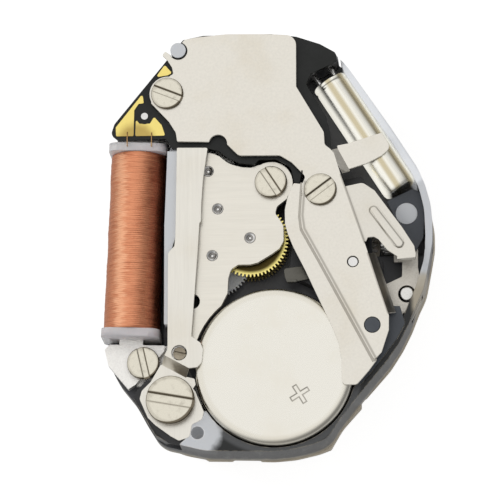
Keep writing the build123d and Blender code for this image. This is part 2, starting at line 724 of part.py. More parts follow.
def make_main_plate():
    """Milky plastic plate: floor, raised rim, back block, foot block, posts, pockets and holes."""
    body = plate(outline(plate_shares, rim_rounding), z_dial_top, z_web_top)
    rim = outline(plate_shares, rim_rounding) - outline(hollow_shares, rim_rounding)
    body += plate(rim, z_web_top, z_rim_top)
    body += plate(outline(block_shares), z_web_top, z_board)
    body += plate(outline(foot_block_shares), z_web_top, z_foot - insulator_thickness)
    body -= cell_space(cell_pocket_gap, z_dial_top - cut_overrun, z_cover)
    body -= motion_space()
    body -= coil_space()
    body -= stem_space()
    body -= stem_hole()
    body -= crystal_space()
    body -= plate(outline(foot_shares), z_foot - insulator_thickness, z_cover)
    body -= plate(outline(foot_insulator_shares), z_foot - insulator_thickness, z_cover)
    body -= plate(outline(guard_shares), z_web_top, z_cover)
    for turn in (0, lever_travel / 2, lever_travel):
        body -= lever_space(turn)
    body -= plate(outline(stator_shares), z_web_top, z_board + cut_overrun)
    body += plate(outline(rail_wall_shares), z_web_top, z_band - hole_gap)
    body += plate(outline(rail_head_shares), z_bridge, z_band - hole_gap)
    body -= train_space(pocket_margin, z_web_top, z_board + cut_overrun)
    chip = place(chip_share)
    half = Vector(chip_width, chip_length) / 2 + Vector(pocket_margin, pocket_margin)
    chip_low = z_board - chip_thickness - pocket_margin
    body -= upright_box(chip - half, chip + half, chip_low, z_board + cut_overrun)
    for name, spot in screw_spots.items():
        body -= round_bar(spot, post_radius, z_post, z_cover)
    body += round_bar(place(bridge_foot_share), post_radius, z_web_bottom, z_bridge)
    body += round_bar(place(bridge_head_share), post_radius, z_web_bottom, z_bridge)
    body += round_bar(place(back_post_share), back_post_radius, z_web_top, z_cover_top + back_post_lift)
    body += round_bar(place(side_post_share), side_post_radius, z_web_bottom, z_side_cover_top)
    body -= cell_space(cell_pocket_gap, z_dial_top - cut_overrun, z_cover)
    body -= coil_space()
    body -= hole(place(spacer_hole_share), spacer_hole_radius, z_web_bottom, z_rim_top)
    for share in dial_foot_shares:
        body -= round_bar(place(share), dial_foot_radius, z_dial_top - cut_overrun, dial_foot_depth)
    body -= hole(hand_axis, plate_tube_hole, z_web_bottom, z_web_top)
    for spot in (third_place, fifth_place, rotor_place):
        bore = pivot_radius + bush_bore_gap
        body -= round_bar(spot, bore, z_web_top - pivot_length, z_web_top + cut_overrun)
    for spot in (minute_place, setting_place):
        body += round_bar(spot, stud_radius, z_dial_top + running_clearance, z_web_bottom + running_clearance)
    body -= round_bar(place(lever_pin_share), lever_pin_radius, z_web_bottom, z_web_top + cut_overrun)
    body -= round_bar(place(stop_stud_share), stop_stud_radius, z_web_bottom, z_board)
    return body


def make_dial_plate():
    """Thin metal plate on the dial side, with holes for the hour pipe, the dial's feet and two windows."""
    body = plate(outline(dial_plate_shares, rim_rounding), 0, z_dial_top)
    body -= hole(hand_axis, hour_pipe_radius + 2 * running_clearance, 0, z_dial_top)
    for share in dial_foot_shares:
        body -= hole(place(share), dial_foot_radius, 0, z_dial_top)
    body -= hole(setting_place, setting_window_radius, 0, z_dial_top)
    beside = minute_place + polar(minute_window_shift, minute_direction)
    body -= hole(beside, minute_window_radius, 0, z_dial_top)
    for share in dial_rivet_shares:
        spot = place(share)
        body -= ring(spot, rivet_radius + rivet_groove, rivet_radius, -cut_overrun, rivet_groove)
    return body


def make_circuit_board():
    """Black resin board under the cover, with its holes."""
    body = plate(outline(board_shares), z_board, z_board_top)
    for name in ("cover_left", "cover_right"):
        body -= hole(screw_spots[name], post_radius + post_hole_gap, z_board, z_board_top)
    body -= hole(screw_spots["bridge"], small_head_radius + 4 * hole_gap, z_board, z_board_top)
    body -= hole(place(back_post_share), back_post_radius + hole_gap, z_board, z_board_top)
    body -= hole(place(guide_pin_share), guide_pin_radius, z_board, z_board_top)
    return body


def make_board_pads():
    """Gilded contact pads on the free corner of the board."""
    pads = Part()
    for shares in (pad_apex_shares, pad_left_shares, pad_right_shares):
        pads += plate(outline(shares), z_board_top, z_board_top + pad_thickness)
    return pads - hole(place(guide_pin_share), guide_pin_radius + pad_ring_gap, z_board_top, z_board_top)


def make_chip():
    """Square resin package of the integrated circuit, under the board."""
    spot = place(chip_share)
    half = Vector(chip_width, chip_length) / 2
    body = upright_box(spot - half, spot + half, z_board - chip_thickness, z_board)
    return chamfer(body.faces().sort_by(Axis.Z)[0].edges(), head_chamfer)


def make_crystal():
    """Metal can of the crystal, rounded at its blind end."""
    can = Cylinder(crystal_radius, crystal_length)
    can = fillet(can.faces().sort_by(Axis.Z)[-1].edges(), crystal_end_radius)
    rim = can.faces().sort_by(Axis.Z)[0].edges()
    return crystal_frame() * chamfer(rim, head_chamfer)


def make_crystal_leads():
    """Two wires that leave the can's end and turn towards the board."""
    end = -crystal_length / 2
    side = crystal_radius / 2
    leads = Part()
    for across in (-side, side):
        leads += Pos(0, across, end) * Cylinder(
            crystal_lead_radius, crystal_lead_length, align=(Align.CENTER, Align.CENTER, Align.MAX)
        )
    return crystal_frame() * leads


def make_bobbin():
    """Moulded bobbin: a tube round the core and a flange at each end."""
    half = coil_length / 2
    tube_width = core_width + 2 * (bobbin_wall + layer_clearance)
    tube_height = core_thickness + 2 * (bobbin_wall + layer_clearance)
    body = Box(tube_width, tube_height, coil_length)
    for sign in (-1, 1):
        face = RectangleRounded(flange_width, flange_height, flange_corner)
        flange = extrude(face, amount=flange_thickness)
        shift = half if sign > 0 else -half - flange_thickness
        body += Pos(0, 0, shift) * flange
    slot = Box(core_width + 2 * layer_clearance, core_thickness + 2 * layer_clearance, 2 * coil_length)
    return coil_frame() * (body - slot)


def make_coil_core():
    """Soft-iron core: a strip through the bobbin, with a lug at each end."""
    half = coil_length / 2 + flange_thickness
    reach = flange_thickness
    strip = coil_frame() * Box(core_width, core_thickness, 2 * (half + reach))
    low = z_coil - core_thickness / 2
    high = z_coil + core_thickness / 2
    body = strip + plate(outline(core_lug_shares), low, high) + plate(outline(core_head_shares), low, high)
    return body - hole(screw_spots["coil"], shank_radius + hole_gap, low, high)


def make_coil_layers():
    """Inner layers of the winding, as one body round the bobbin's tube."""
    tube_width = core_width + 2 * (bobbin_wall + 2 * layer_clearance)
    tube_height = core_thickness + 2 * (bobbin_wall + 2 * layer_clearance)
    body = Cylinder(core_radius, coil_length - 2 * layer_clearance)
    body -= Box(tube_width, tube_height, 2 * coil_length)
    return coil_frame() * body


def biarc(start, start_way, end, end_way):
    """Two arcs that join smoothly, from one point and direction to another."""
    chord = end - start
    ways = start_way + end_way
    bend = 2 * (1 - start_way.dot(end_way))
    reach = (-chord.dot(ways) + math.sqrt(chord.dot(ways) ** 2 + bend * chord.dot(chord))) / bend
    first = start + start_way * reach
    last = end - end_way * reach
    middle = (first + last) / 2
    middle_way = (last - first).normalized()
    return [
        Edge.make_tangent_arc(start, start_way, middle),
        Edge.make_tangent_arc(middle, middle_way, end),
    ]


def winding_point(quarter):
    """Point and direction of the outer layer after a number of quarter turns."""
    radius = core_radius + layer_clearance + wire_diameter / 2
    lead_in = coil_length / 2 - 3 * wire_diameter
    rise = 2 * lead_in / (4 * coil_turns)
    angle = math.radians(90 * quarter)
    point = Vector(radius * math.cos(angle), radius * math.sin(angle), quarter * rise - lead_in)
    way = Vector(-radius * math.sin(angle) * math.pi / 2, radius * math.cos(angle) * math.pi / 2, rise)
    return point, way.normalized()


def winding_edges():
    """Path of the outer layer: a straight end at each flange and quarter turns between them."""
    quarters = 4 * coil_turns
    edges = []
    for sign in (-1, 1):
        point, way = winding_point(0 if sign < 0 else quarters)
        angle = math.radians(-45 if sign < 0 else 90 * quarters + 45)
        radius = core_radius + layer_clearance + wire_diameter / 2
        flange_face = sign * coil_length / 2
        foot_height = flange_face - sign * layer_clearance
        foot = Vector(radius * math.cos(angle), radius * math.sin(angle), foot_height)
        knee = foot - Vector(0, 0, sign * wire_diameter)
        inward = Vector(0, 0, -sign)
        if sign < 0:
            edges += [Edge.make_line(foot, knee)] + biarc(knee, inward, point, way)
        else:
            tail = biarc(point, way, knee, Vector(0, 0, 1)) + [Edge.make_line(knee, foot)]
    for quarter in range(quarters):
        start, start_way = winding_point(quarter)
        end, end_way = winding_point(quarter + 1)
        edges += biarc(start, start_way, end, end_way)
    return edges + tail


def least_gap(edges):
    """Least distance between stretches of the tube that are over half a turn apart, less its diameter."""
    samples = 4
    points = [edge @ (step / samples) for edge in edges for step in range(samples)]
    apart = 4 * samples
    return min(
        (points[first] - points[second]).length
        for first in range(len(points))
        for second in range(first + apart, len(points))
    ) - wire_diameter


def make_winding():
    """Outer layer of the winding, as one unbroken tube."""
    edges = winding_edges()
    print("winding: least gap to itself, mm:", round(least_gap(edges), 3))
    path = Wire(edges)
    section = Plane(origin=path @ 0, z_dir=path % 0) * Circle(wire_diameter / 2)
    tube = sweep(section, path=path)
    return coil_frame() * tube


def make_coil_leads():
    """Two lead wires from the upper flange over to the pads."""
    leads = Part()
    flange = coil_frame() * Pos(0, 0, coil_length / 2 + flange_thickness / 2)
    for share in lead_across_shares:
        foot = (flange * Pos(share * flange_width, -flange_height / 2 - layer_clearance, 0)).position
        bend = Vector(foot.X, foot.Y, z_board_top + pad_thickness + lead_diameter / 2)
        path = FilletPolyline(foot, bend, bend + Vector(0, lead_length), radius=lead_diameter)
        section = Plane(origin=path @ 0, z_dir=path % 0) * Circle(lead_diameter / 2)
        leads += sweep(section, path=path)
    return leads


def make_stator():
    """Soft-iron stator plate with the rotor's hole and its two inner notches."""
    body = plate(outline(stator_shares), z_web_top, z_stator_top)
    body -= hole(rotor_place, magnet_radius + magnet_air_gap, z_web_top, z_stator_top)
    for turn in (0, 180):
        notch = rotor_place + polar(magnet_radius + magnet_air_gap, rotor_direction + turn)
        body -= hole(notch, magnet_air_gap / 2, z_web_top, z_stator_top)
    body -= hole(screw_spots["coil"], shank_radius + hole_gap, z_web_top, z_stator_top)
    for share in (bridge_foot_share, bridge_head_share):
        body -= hole(place(share), post_radius + running_clearance, z_web_top, z_stator_top)
    body -= hole(place(stop_stud_share), stop_stud_radius + running_clearance, z_web_top, z_stator_top)
    body -= cell_space(cell_side_gap, z_web_top - cut_overrun, z_stator_top + cut_overrun)
    return body - hole(hand_axis, tip_radius(centre_wheel_teeth, centre_module) + pocket_margin,
                       z_web_top, z_stator_top)


def make_bridge():
    """Train bridge: one flat plate over the wheels, with a hole for each bush."""
    body = plate(outline(bridge_shares), z_bridge, z_bridge_top)
    body += round_bar(screw_spots["bridge"], bridge_boss_radius, z_bridge, z_bridge_top)
    body -= hole(screw_spots["bridge"], shank_radius + hole_gap, z_bridge, z_bridge_top)
    body -= hole(place(bridge_hole_share), bridge_hole_radius, z_bridge, z_bridge_top)
    body -= cell_space(cell_side_gap, z_bridge - cut_overrun, z_bridge_top + cut_overrun)
    for spot in (hand_axis, third_place, fifth_place, rotor_place):
        body -= hole(spot, bush_radius, z_bridge, z_bridge_top)
    return body


def make_bushes():
    """Pivot bushes in the bridge, each with an oil sink round its bore."""
    bushes = Part()
    for spot in (hand_axis, third_place, fifth_place, rotor_place):
        bush = ring(spot, bush_radius, pivot_radius + bush_bore_gap, z_bridge, z_bridge_top)
        hanging = (Align.CENTER, Align.CENTER, Align.MAX)
        sink = Cone(pivot_radius, bush_radius - hole_gap, bush_dish_depth, align=hanging)
        bushes += bush - Pos(spot.X, spot.Y, z_bridge_top) * sink
    return bushes


def make_finger():
    """Finger of the cover that steps down and holds the crystal's can."""
    start, end = (place(share) for share in finger_fold_shares)
    step = z_cover_top - z_finger_top
    slope = bent_leaf(start, end, z_cover_top, finger_run, step, sheet_thickness)
    flat = plate(outline(finger_shares), z_finger_top - sheet_thickness, z_finger_top)
    return slope + flat


def tab_leaf(top, thickness=sheet_thickness):
    """Sloping sheet that the sprung tab is cut from."""
    start, end = (place(share) for share in tab_fold_shares)
    run = tab_run_share * plan_radius
    return bent_leaf(start, end, top, run, run * tab_slope, thickness, tab_inset, run / 2)


def make_tab():
    """Sprung tab with a pressed rib, and its end turned down behind the setting lever."""
    low = z_rim_top - tab_end_drop
    leaf = tab_leaf(z_cover_top) & plate(outline(tab_shares), low, z_cover_top + cut_overrun)
    rib = tab_leaf(z_cover_top + rib_lift) & plate(outline(rib_shares), low, z_cover_top + cut_overrun)
    end_space = plate(outline(tab_end_shares), low - tab_end_drop, z_cover_top)
    end = tab_leaf(z_cover_top, tab_end_drop) & end_space
    return leaf + rib + end


def make_side_flange():
    """Flange bent down along the outer side of the cover's arm."""
    start, end = (place(share) for share in flange_fold_shares)
    return bent_leaf(start, end, z_cover_top, flange_run, flange_drop, sheet_thickness)


def make_band():
    """Contact band beside the arm: three sloping steps down to a flat spring on the cell."""
    step = z_cover_top - z_band_top
    band = plate(outline(band_shares), z_band, z_band_top)
    for start, end in zip(band_fold_shares, band_fold_shares[1:]):
        drop = step - fold_lift
        band += bent_leaf(place(start), place(end), z_cover_top, step, drop, sheet_thickness, ends=fold_end)
    return band


def make_cover():
    """Steel cover: back sheet and arm, with the finger, tab, flange and contact band bent from it."""
    sheet = plate(outline(cover_shares), z_cover, z_cover_top)
    sheet += round_bar(screw_spots["cover_left"], cover_boss_radius, z_cover, z_cover_top)
    sheet += make_band() + make_finger() + make_tab() + make_side_flange()
    sheet -= hole(place(back_post_share), back_post_radius + 2 * hole_gap, z_cover, z_cover_top)
    sheet -= hole(place(finger_notch_share), finger_notch_radius, z_cover, z_cover_top)
    for name in ("cover_left", "cover_right"):
        sheet -= hole(screw_spots[name], shank_radius + hole_gap, z_cover, z_cover_top)
    sheet -= hole(place(reset_pin_share), reset_hole_radius, z_cover, z_cover_top)
    sheet -= hole(place(guard_pin_share), guard_pin_radius + hole_gap, z_cover, z_cover_top)
    relief = place(band_fold_shares[0])
    relief_size = Vector(relief_width, relief_length)
    sheet -= upright_box(relief - relief_size, relief + Vector(0, relief_length), z_cover, z_cover_top)
    return sheet


def make_cell_clamp():
    """Long clamp strip: a flat head on the cell's edge, a step, and a foot under the large screw."""
    strip = plate(outline(strip_shares), z_band, z_band_top)
    step = z_band_top - z_foot_top
    start, end = (place(share) for share in clamp_fold_shares)
    slope = bent_leaf(start, end, z_band_top, foot_run, step, sheet_thickness)
    foot = plate(outline(foot_shares), z_foot, z_foot_top)
    foot -= cell_space(cell_pocket_gap, z_foot - cut_overrun, z_foot_top)
    body = strip + slope + foot
    body -= hole(place(stop_stud_share), stop_hole_radius, z_band, z_band_top)
    return body - hole(screw_spots["clamp"], shank_radius + hole_gap, z_foot, z_foot_top)


def make_foot_insulator():
    """Black insulating sheet under the foot of the clamp strip."""
    body = plate(outline(foot_insulator_shares), z_foot - insulator_thickness, z_foot)
    body -= cell_space(cell_pocket_gap, z_terminal, z_foot + cut_overrun)
    return body - hole(screw_spots["clamp"], post_radius + hole_gap, z_foot - insulator_thickness, z_foot)


def make_cover_screws():
    """The two screws that hold the cover."""
    left = slotted_screw(screw_spots["cover_left"], small_head_radius, cover_head_height, small_slot_width,
                         cover_left_slot, z_cover_top, z_web_top)
    right = slotted_screw(screw_spots["cover_right"], small_head_radius, cover_head_height, small_slot_width,
                          cover_right_slot, z_cover_top, z_web_top)
    return Part() + left + right


def make_bridge_screw():
    """Screw that holds the train bridge."""
    return slotted_screw(screw_spots["bridge"], small_head_radius, bridge_head_height, small_slot_width,
                         bridge_slot, z_bridge_top, z_web_top)


def make_coil_screw():
    """Screw that holds the core's lug on the stator."""
    return slotted_screw(screw_spots["coil"], small_head_radius, coil_head_height, small_slot_width,
                         coil_slot, z_coil + core_thickness / 2, z_post)


def make_clamp_screw():
    """Large screw that holds the cell's clamp strip."""
    return slotted_screw(screw_spots["clamp"], clamp_head_radius, clamp_head_height, clamp_slot_width,
                         clamp_slot, z_foot_top, z_web_top)


def make_screw_posts():
    """Brass posts set in the plate, one under each screw, bored for its thread."""
    posts = Part()
    for name, spot in screw_spots.items():
        posts += ring(spot, post_radius, shank_radius + thread_gap, z_post, post_tops[name])
    return posts


def make_stop_stud():
    """Slotted steel stud that shows through the hole in the clamp strip."""
    spot = place(stop_stud_share)
    stud = round_bar(spot, stop_stud_radius, z_web_bottom, z_band - running_clearance)
    slot = Box(2 * stop_stud_radius + cut_overrun, stop_stud_radius / 2, 2 * slot_depth)
    return stud - Pos(spot.X, spot.Y, z_band - running_clearance) * Rot(0, 0, stud_slot) * slot


def make_cell_can():
    """Steel can of the cell, with its rounded edge and its open rim on the dial side."""
    can = round_bar(place(cell_share), cell_radius, z_cell + cell_cap_drop, z_cell_top)
    can = fillet(can.faces().sort_by(Axis.Z)[-1].edges(), cell_edge_radius)
    well = cap_radius + gasket_width
    return can - round_bar(place(cell_share), well, z_cell - cut_overrun, z_cell + cell_cap_depth)


def make_cell_gasket():
    """Ring that insulates the cap from the can."""
    return ring(place(cell_share), cap_radius + gasket_width, cap_radius,
                z_cell + cell_cap_drop, z_cell + cell_cap_depth - end_shake)


def make_cell_cap():
    """Flat cap of the cell, its negative side."""
    cap = round_bar(place(cell_share), cap_radius, z_cell, z_cell + cell_cap_depth - end_shake)
    return fillet(cap.faces().sort_by(Axis.Z)[0].edges(), cell_cap_drop)


def make_terminal():
    """Thin leaf under the cell that touches its cap."""
    spot = place(cell_share)
    face = RectangleRounded(terminal_width, terminal_length, terminal_corner)
    return plate(Pos(spot.X, spot.Y) * face, z_terminal, z_cell)


def make_insulator():
    """Round insulating sheet between the cell and the dial plate."""
    return round_bar(place(cell_share), cell_radius, z_insulator, z_terminal)


def make_arbor(spot, radius, pinion):
    """Arbor with its pivots and the pinion cut on it."""
    return pivoted_arbor(spot, radius) + pinion


seconds_pinion_phase = mate_phase(third_direction + 180, 0, third_wheel_teeth, seconds_pinion_teeth)
fifth_pinion_phase = mate_phase(fifth_direction, 0, seconds_wheel_teeth, fifth_pinion_teeth)
rotor_pinion_phase = mate_phase(rotor_direction, 0, fifth_wheel_teeth, rotor_pinion_teeth)
third_pinion_phase = mate_phase(third_direction, 0, centre_wheel_teeth, third_pinion_teeth)
cannon_phase = 0.0
minute_phase = mate_phase(minute_direction, cannon_phase, cannon_teeth, minute_wheel_teeth)
minute_pinion_phase = mate_phase(minute_direction, 0, hour_wheel_teeth, minute_pinion_teeth)
setting_phase = mate_phase(setting_direction, minute_phase, minute_wheel_teeth, setting_wheel_teeth)
z_third_pinion = z_centre_wheel - end_shake
z_seconds_pinion = z_third_wheel - end_shake
z_fifth_pinion = z_seconds_wheel - end_shake
z_rotor_pinion = z_fifth_wheel - end_shake
z_minute_wheel = z_web_bottom - motion_wheel_gap - wheel_thickness - minute_lift
z_hour_wheel = z_dial_top + motion_wheel_gap


def make_seconds_wheel():
    """Brass seconds wheel with a turned recess in its upper face."""
    top = z_seconds_wheel + wheel_thickness
    body = wheel(hand_axis, seconds_wheel_teeth, seconds_module, 0, z_seconds_wheel, top)
    body -= hole(hand_axis, seconds_arbor_radius, z_seconds_wheel, top)
    recess_bottom = top - recess_depth
    return body - ring(hand_axis, recess_outer_radius, recess_inner_radius, recess_bottom, top + cut_overrun)


def make_seconds_arbor():
    """Arbor of the seconds hand, with its pinion, upper pivot and the seat for the hand."""
    low_seat = -hour_pipe_length - minute_pipe_length
    body = round_bar(hand_axis, seconds_arbor_radius, low_seat + seat_relief_length, z_bridge - end_shake)
    body += tapered_bar(hand_axis, second_seat_radius, seconds_arbor_radius,
                        low_seat, low_seat + seat_relief_length)
    body += round_bar(hand_axis, second_seat_radius, low_seat - second_seat_length, low_seat)
    body += round_bar(hand_axis, pivot_radius, z_bridge - end_shake, z_bridge + pivot_length - end_shake)
    return body + wheel(hand_axis, seconds_pinion_teeth, third_module, seconds_pinion_phase,
                        z_seconds_pinion, z_seconds_pinion + pinion_length)


def make_third_wheel():
    """White plastic third wheel."""
    top = z_third_wheel + wheel_thickness
    body = wheel(third_place, third_wheel_teeth, third_module, 0, z_third_wheel, top)
    return body - hole(third_place, arbor_radius, z_third_wheel, top)


def make_third_arbor():
    """Arbor of the third wheel with the pinion that drives the centre wheel."""
    pinion = wheel(third_place, third_pinion_teeth, centre_module, third_pinion_phase,
                   z_third_pinion, z_third_pinion + pinion_length)
    return make_arbor(third_place, arbor_radius, pinion)


def make_fifth_wheel():
    """Plastic fifth wheel, driven by the rotor."""
    top = z_fifth_wheel + wheel_thickness
    body = wheel(fifth_place, fifth_wheel_teeth, fifth_module, 0, z_fifth_wheel, top)
    return body - hole(fifth_place, arbor_radius, z_fifth_wheel, top)


def make_fifth_arbor():
    """Arbor of the fifth wheel with the pinion that drives the seconds wheel."""
    pinion = wheel(fifth_place, fifth_pinion_teeth, seconds_module, fifth_pinion_phase,
                   z_fifth_pinion, z_fifth_pinion + pinion_length)
    return make_arbor(fifth_place, arbor_radius, pinion)


def make_rotor_magnet():
    """Two-pole ring magnet of the rotor."""
    return ring(rotor_place, magnet_radius, arbor_radius, z_centre_wheel, z_centre_wheel + magnet_height)


def make_rotor_arbor():
    """Arbor of the rotor with its pinion."""
    pinion = wheel(rotor_place, rotor_pinion_teeth, fifth_module, rotor_pinion_phase,
                   z_rotor_pinion, z_rotor_pinion + pinion_length)
    return make_arbor(rotor_place, arbor_radius, pinion)


def make_centre_wheel():
    """Thin centre wheel, held by friction on the cannon pinion."""
    top = z_centre_wheel + wheel_thickness
    body = wheel(hand_axis, centre_wheel_teeth, centre_module, 0, z_centre_wheel, top)
    return body - hole(hand_axis, minute_pipe_radius, z_centre_wheel, top)


def make_cannon_pinion():
    """Cannon pinion: the tube that carries the minute hand, with its teeth in the motion work."""
    low = -hour_pipe_length - minute_pipe_length + running_clearance
    top = z_centre_wheel + wheel_thickness
    relief_top = seat_relief_length - hour_pipe_length
    body = round_bar(hand_axis, minute_pipe_radius, low, -hour_pipe_length)
    body += tapered_bar(hand_axis, minute_pipe_radius, minute_pipe_radius - seat_relief_depth,
                        -hour_pipe_length, relief_top)
    body += round_bar(hand_axis, minute_pipe_radius, relief_top, top)
    teeth_top = z_web_bottom - end_shake
    body += wheel(hand_axis, cannon_teeth, minute_module, cannon_phase, z_minute_wheel, teeth_top)
    return body - hole(hand_axis, pinion_bore, low, top)


def make_minute_wheel():
    """Minute wheel and its pinion, on their stud."""
    top = z_minute_wheel + wheel_thickness
    body = wheel(minute_place, minute_wheel_teeth, minute_module, minute_phase, z_minute_wheel, top)
    body += wheel(minute_place, minute_pinion_teeth, hour_module, minute_pinion_phase,
                  z_hour_wheel, z_minute_wheel)
    return body - hole(minute_place, stud_radius + pipe_clearance, z_hour_wheel, top)


def make_hour_wheel():
    """Hour wheel and the pipe that carries the hour hand."""
    top = z_hour_wheel + wheel_thickness
    body = wheel(hand_axis, hour_wheel_teeth, hour_module, 0, z_hour_wheel, top)
    body += round_bar(hand_axis, hour_pipe_radius, -hour_pipe_length, 0)
    body += tapered_bar(hand_axis, hour_pipe_radius, hour_pipe_radius - seat_relief_depth, 0, z_hour_wheel)
    return body - hole(hand_axis, hour_bore, -hour_pipe_length, top)


def make_setting_wheel():
    """Setting wheel, between the minute wheel and the clutch wheel."""
    top = z_minute_wheel + wheel_thickness
    body = wheel(setting_place, setting_wheel_teeth, minute_module, setting_phase, z_minute_wheel, top)
    return body - hole(setting_place, stud_radius + pipe_clearance, z_minute_wheel, top)


def make_clutch_wheel():
    """Clutch wheel on the stem's axis: face teeth, a waist for the yoke and a square bore."""
    half = clutch_length / 2
    body = Cylinder(clutch_radius, clutch_length)
    groove = Cylinder(clutch_radius + cut_overrun, clutch_waist_width)
    groove -= Cylinder(clutch_waist_radius, clutch_length)
    body -= Pos(0, 0, clutch_waist_share * clutch_length) * groove
    tooth_gap = math.pi * clutch_radius / clutch_teeth
    for tooth in range(clutch_teeth):
        slit = Pos(clutch_radius, 0, -half) * Box(clutch_radius, tooth_gap, 2 * clutch_tooth_depth)
        body -= Rot(0, 0, 360 * tooth / clutch_teeth) * slit
    body -= Box(2 * clutch_bore, 2 * clutch_bore, 2 * clutch_length)
    return Pos(clutch_share * plan_radius, 0, z_stem) * Rot(0, 90, 0) * body


def make_yoke():
    """Sliding yoke over the clutch wheel, with a fork in its waist and a slot for the lever."""
    middle = clutch_share * plan_radius + clutch_waist_share * clutch_length
    reach = clutch_radius + yoke_width
    half = yoke_width / 2
    low = Vector(middle - half, -reach)
    high = Vector(middle + half, yoke_short_reach)
    body = upright_box(low, high, z_yoke, z_yoke + yoke_thickness)
    fork = upright_box(
        Vector(middle - clutch_waist_width / 2 + running_clearance, -clutch_waist_radius),
        Vector(middle + clutch_waist_width / 2 - running_clearance, clutch_waist_radius),
        z_stem, z_yoke,
    )
    notch = Cylinder(clutch_waist_radius + running_clearance, yoke_width)
    fork -= Pos(middle, 0, z_stem) * Rot(0, 90, 0) * notch
    return body + fork


def make_setting_lever():
    """Setting lever: a flat steel lever on its pin, with the stud that the stem's groove takes."""
    body = plate(outline(lever_shares), z_lever, z_lever + lever_thickness)
    body -= hole(place(lever_pin_share), lever_pin_radius + lever_pin_gap, z_lever, z_lever + lever_thickness)
    body -= hole(place(lever_release_share), release_hole_radius, z_lever, z_lever + lever_thickness)
    return body + round_bar(place(lever_stud_share), lever_stud_radius, z_stem + clutch_bore, z_lever)


def make_lever_pin():
    """Polished pin that the setting lever turns on."""
    spot = place(lever_pin_share)
    pin = round_bar(spot, lever_pin_radius, z_web_bottom, z_lever + lever_thickness + lever_pin_gap)
    return chamfer(pin.faces().sort_by(Axis.Z)[-1].edges(), head_chamfer)


def make_reset_lever():
    """Reset lever, whose turned-up end stops the seconds wheel while the hands are set."""
    body = plate(outline(reset_shares), z_reset, z_reset + reset_thickness)
    low, high = (place(share) for share in reset_tab_shares)
    body += upright_box(low, high, z_reset, z_reset + 2 * reset_thickness)
    pin_hole = reset_pin_radius + reset_pin_gap
    return body - hole(place(reset_pin_share), pin_hole, z_reset, z_reset + reset_thickness)


def make_reset_pin():
    """Pin that the reset lever turns on, up through the hole in the cover's arm."""
    return round_bar(place(reset_pin_share), reset_pin_radius, z_web_top, z_cover_top - running_clearance)


def make_guide_pin():
    """Steel pin that places the board on the plate."""
    low = z_board - running_clearance
    return round_bar(place(guide_pin_share), guide_pin_radius, low, z_board_top + pad_thickness)


def make_circuit_frame():
    """Black moulded frame under the cover's arm."""
    body = plate(outline(frame_shares), z_web_top, z_frame_top)
    body -= train_space(pocket_margin, z_web_top - cut_overrun, z_frame_top + cut_overrun)
    body -= cell_space(cell_side_gap, z_web_top - cut_overrun, z_frame_top + cut_overrun)
    body -= crystal_space()
    for name in ("cover_right", "bridge"):
        body -= hole(screw_spots[name], post_radius + post_hole_gap, z_web_top, z_frame_top)
    return body - hole(place(reset_pin_share), reset_pin_radius, z_web_top, z_frame_top)


def make_side_cover():
    """Dark plastic cover over the setting parts, round the plate's side post."""
    body = plate(outline(side_cover_shares), z_side_cover, z_side_cover_top)
    body -= crystal_space()
    return body - hole(place(side_post_share), side_post_radius, z_side_cover, z_side_cover_top)


def make_cell_guard():
    """Dark plastic guard between the cell and the rim, with its pin through the cover's arm."""
    body = plate(outline(guard_shares), z_web_top, z_rim_top)
    body -= cell_space(cell_side_gap, z_web_top - cut_overrun, z_rim_top + cut_overrun)
    body -= round_bar(place(lever_pin_share), lever_sweep_radius, z_web_top - cut_overrun, z_side_cover)
    return body + round_bar(place(guard_pin_share), guard_pin_radius, z_rim_top, z_cover_top)


makers = {
    "main_plate": make_main_plate,
    "dial_plate": make_dial_plate,
    "circuit_board": make_circuit_board,
    "board_pads": make_board_pads,
    "integrated_circuit": make_chip,
    "crystal_can": make_crystal,
    "crystal_leads": make_crystal_leads,
    "coil_bobbin": make_bobbin,
    "coil_core": make_coil_core,
    "coil_inner_layers": make_coil_layers,
    "coil_winding": make_winding,
    "coil_leads": make_coil_leads,
    "stator": make_stator,
    "train_bridge": make_bridge,
    "pivot_bushes": make_bushes,
    "cover_plate": make_cover,
    "cell_clamp": make_cell_clamp,
    "foot_insulator": make_foot_insulator,
    "cover_screws": make_cover_screws,
    "bridge_screw": make_bridge_screw,
    "coil_screw": make_coil_screw,
    "clamp_screw": make_clamp_screw,
    "screw_posts": make_screw_posts,
    "stop_stud": make_stop_stud,
    "cell_can": make_cell_can,
    "cell_gasket": make_cell_gasket,
    "cell_cap": make_cell_cap,
    "cell_terminal": make_terminal,
    "cell_insulator": make_insulator,
    "seconds_wheel": make_seconds_wheel,
    "seconds_arbor": make_seconds_arbor,
    "third_wheel": make_third_wheel,
    "third_arbor": make_third_arbor,
    "fifth_wheel": make_fifth_wheel,
    "fifth_arbor": make_fifth_arbor,
    "rotor_magnet": make_rotor_magnet,
    "rotor_arbor": make_rotor_arbor,
    "centre_wheel": make_centre_wheel,
    "cannon_pinion": make_cannon_pinion,
    "minute_wheel": make_minute_wheel,
    "hour_wheel": make_hour_wheel,
    "setting_wheel": make_setting_wheel,
    "clutch_wheel": make_clutch_wheel,
    "yoke": make_yoke,
    "setting_lever": make_setting_lever,
    "lever_pin": make_lever_pin,
    "reset_lever": make_reset_lever,
    "reset_pin": make_reset_pin,
    "guide_pin": make_guide_pin,
    "circuit_frame": make_circuit_frame,
    "side_cover": make_side_cover,
    "cell_guard": make_cell_guard,
}

for name, make in makers.items():
    export_step(make(), f"parts/{name}.step")
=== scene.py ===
"""Visual model of a small quartz watch movement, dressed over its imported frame.

Sizes inside the classes are millimetres in the frame's own axes, and every mesh is written in metres.
A Range is a low and a high value between which a mask rises or falls.
"""

from __future__ import annotations

import json
import logging
import math
from dataclasses import dataclass, field
from enum import Enum
from typing import Any, Sequence, Union

import bmesh
import bpy
import numpy as np
from mathutils import Matrix, Vector

